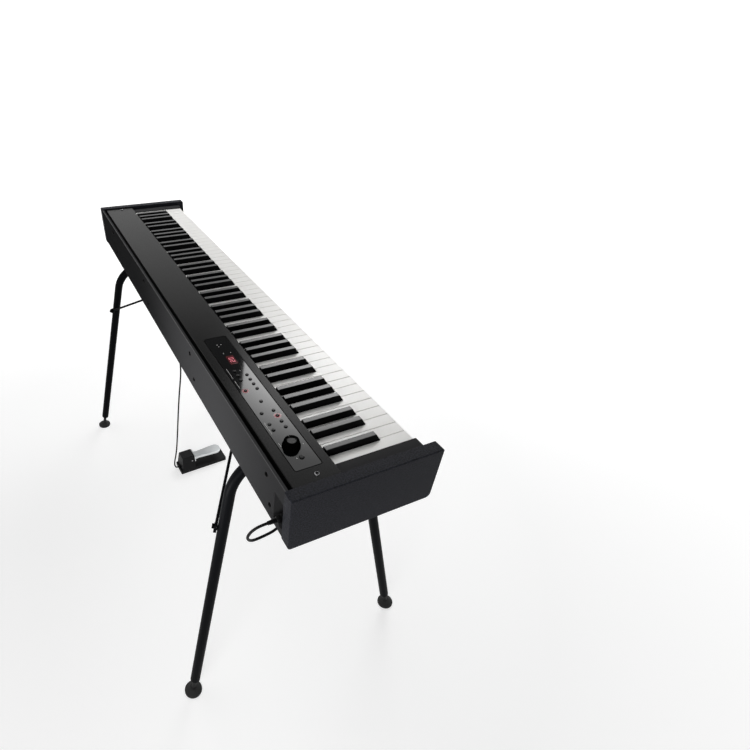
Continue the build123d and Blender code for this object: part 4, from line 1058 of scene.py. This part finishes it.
def hot_spot(lamp, bulb, reach, rim):
    """Makes a soft box fall off from full strength at its bulb to a dim rim."""
    lamp.data.use_nodes = True
    tree = lamp.data.node_tree
    cloth = add_node(tree, "ShaderNodeNewGeometry", {})
    away = add_node(
        tree,
        "ShaderNodeVectorMath",
        {"operation": "DISTANCE", 1: bulb},
        [(cloth, "Position", 0)],
    )
    ramp = add_node(
        tree,
        "ShaderNodeMapRange",
        {"interpolation_type": "SMOOTHSTEP", "From Max": reach, "To Min": 1.0, "To Max": rim},
        [(away, "Value", "Value")],
    )
    tree.links.new(ramp.outputs["Result"], tree.nodes["Emission"].inputs["Strength"])


print("soft boxes are ready")

# %% [markdown]
# One large soft box hangs flat over the far side, turned so that its edge crosses the gloss of the
# control plate. A second one overhead fills the rest, and a small one lights the near end from the
# back. The level is set so that a colour comes out about as it is written.

# %% Studio light
OVER_PLACE = (1.057, -1.251, 2.3)
OVER_BELOW = (1.057, -1.251, 0)
OVER_TURN = -25.5
OVER_BULB = (1.6, -1.48, 2.3)
TOP_PLACE = (1.4, 0.6, 3.0)
TOP_TARGET = (0.5, 0, 0.6)
BACK_PLACE = (-1.15, 0.75, 0.95)
BACK_TARGET = (-0.6, 0.1, 0.65)
over_light = soft_box("over_light", OVER_PLACE, OVER_BELOW, width=2.4, length=1.4, power=118)
over_light.rotation_euler = (0, 0, radians(OVER_TURN))
hot_spot(over_light, OVER_BULB, reach=1.12, rim=0.1)
top_light = soft_box("top_light", TOP_PLACE, TOP_TARGET, width=2.6, length=2.6, power=32)
back_light = soft_box("back_light", BACK_PLACE, BACK_TARGET, width=0.5, length=0.5, power=5)
print("soft boxes", over_light.name, top_light.name, back_light.name)

# %% [markdown]
# The rear panel is brightest in the middle of its near half and fades to both ends. A soft box would
# light it evenly, so it gets a spot with a wide, soft cone. A weak white sky keeps the deepest shadows
# from going quite black.

# %% Rear spot and sky
SPOT_PLACE = (-0.75, 1.3, 0.45)
SPOT_TARGET = (-0.3, 0.13, 0.67)
SPOT_POWER = 80
SPOT_CONE = 30
SPOT_BLEND = 1.0
SPOT_RADIUS = 0.15
SKY_STRENGTH = 0.1
bpy.ops.object.select_all(action="DESELECT")
bpy.ops.object.light_add(type="SPOT", location=SPOT_PLACE)
rear_spot = bpy.context.object
rear_spot.name = "rear_spot"
rear_spot.data.energy = SPOT_POWER
rear_spot.data.spot_size = radians(SPOT_CONE)
rear_spot.data.spot_blend = SPOT_BLEND
rear_spot.data.shadow_soft_size = SPOT_RADIUS
rear_spot.rotation_euler = aim(SPOT_PLACE, SPOT_TARGET)
world = bpy.data.worlds.new("studio")
bpy.context.scene.world = world
world.use_nodes = True
sky = world.node_tree.nodes["Background"]
sky.inputs["Color"].default_value = linear("ffffff")
sky.inputs["Strength"].default_value = SKY_STRENGTH
print("spot", rear_spot.name, "and sky", world.name)

# %% [markdown]
# The camera stands where the photograph was taken: behind the bass end, above the case, looking down
# along the keys. Its three axes come from fitting the case's corners.

# %% Camera
CAMERA_PLACE = Vector((-1.04835, 0.36061, 1.25182))
CAMERA_RIGHT = (-0.43097, -0.90169, 0.03508)
CAMERA_UP = (0.58114, -0.2476, 0.77522)
CAMERA_BACK = (-0.69032, 0.35448, 0.63071)
CAMERA_LENS = 24.22
CAMERA_SHIFT = (0.1339, 0.0538)
bpy.ops.object.camera_add(location=CAMERA_PLACE)
camera = bpy.context.object
camera.name = "photo_camera"
camera.rotation_euler = Matrix((CAMERA_RIGHT, CAMERA_UP, CAMERA_BACK)).transposed().to_euler()
camera.data.lens = CAMERA_LENS
camera.data.shift_x, camera.data.shift_y = CAMERA_SHIFT
bpy.context.scene.camera = camera
bpy.context.scene.view_settings.view_transform = "Standard"
print("camera lens", CAMERA_LENS)
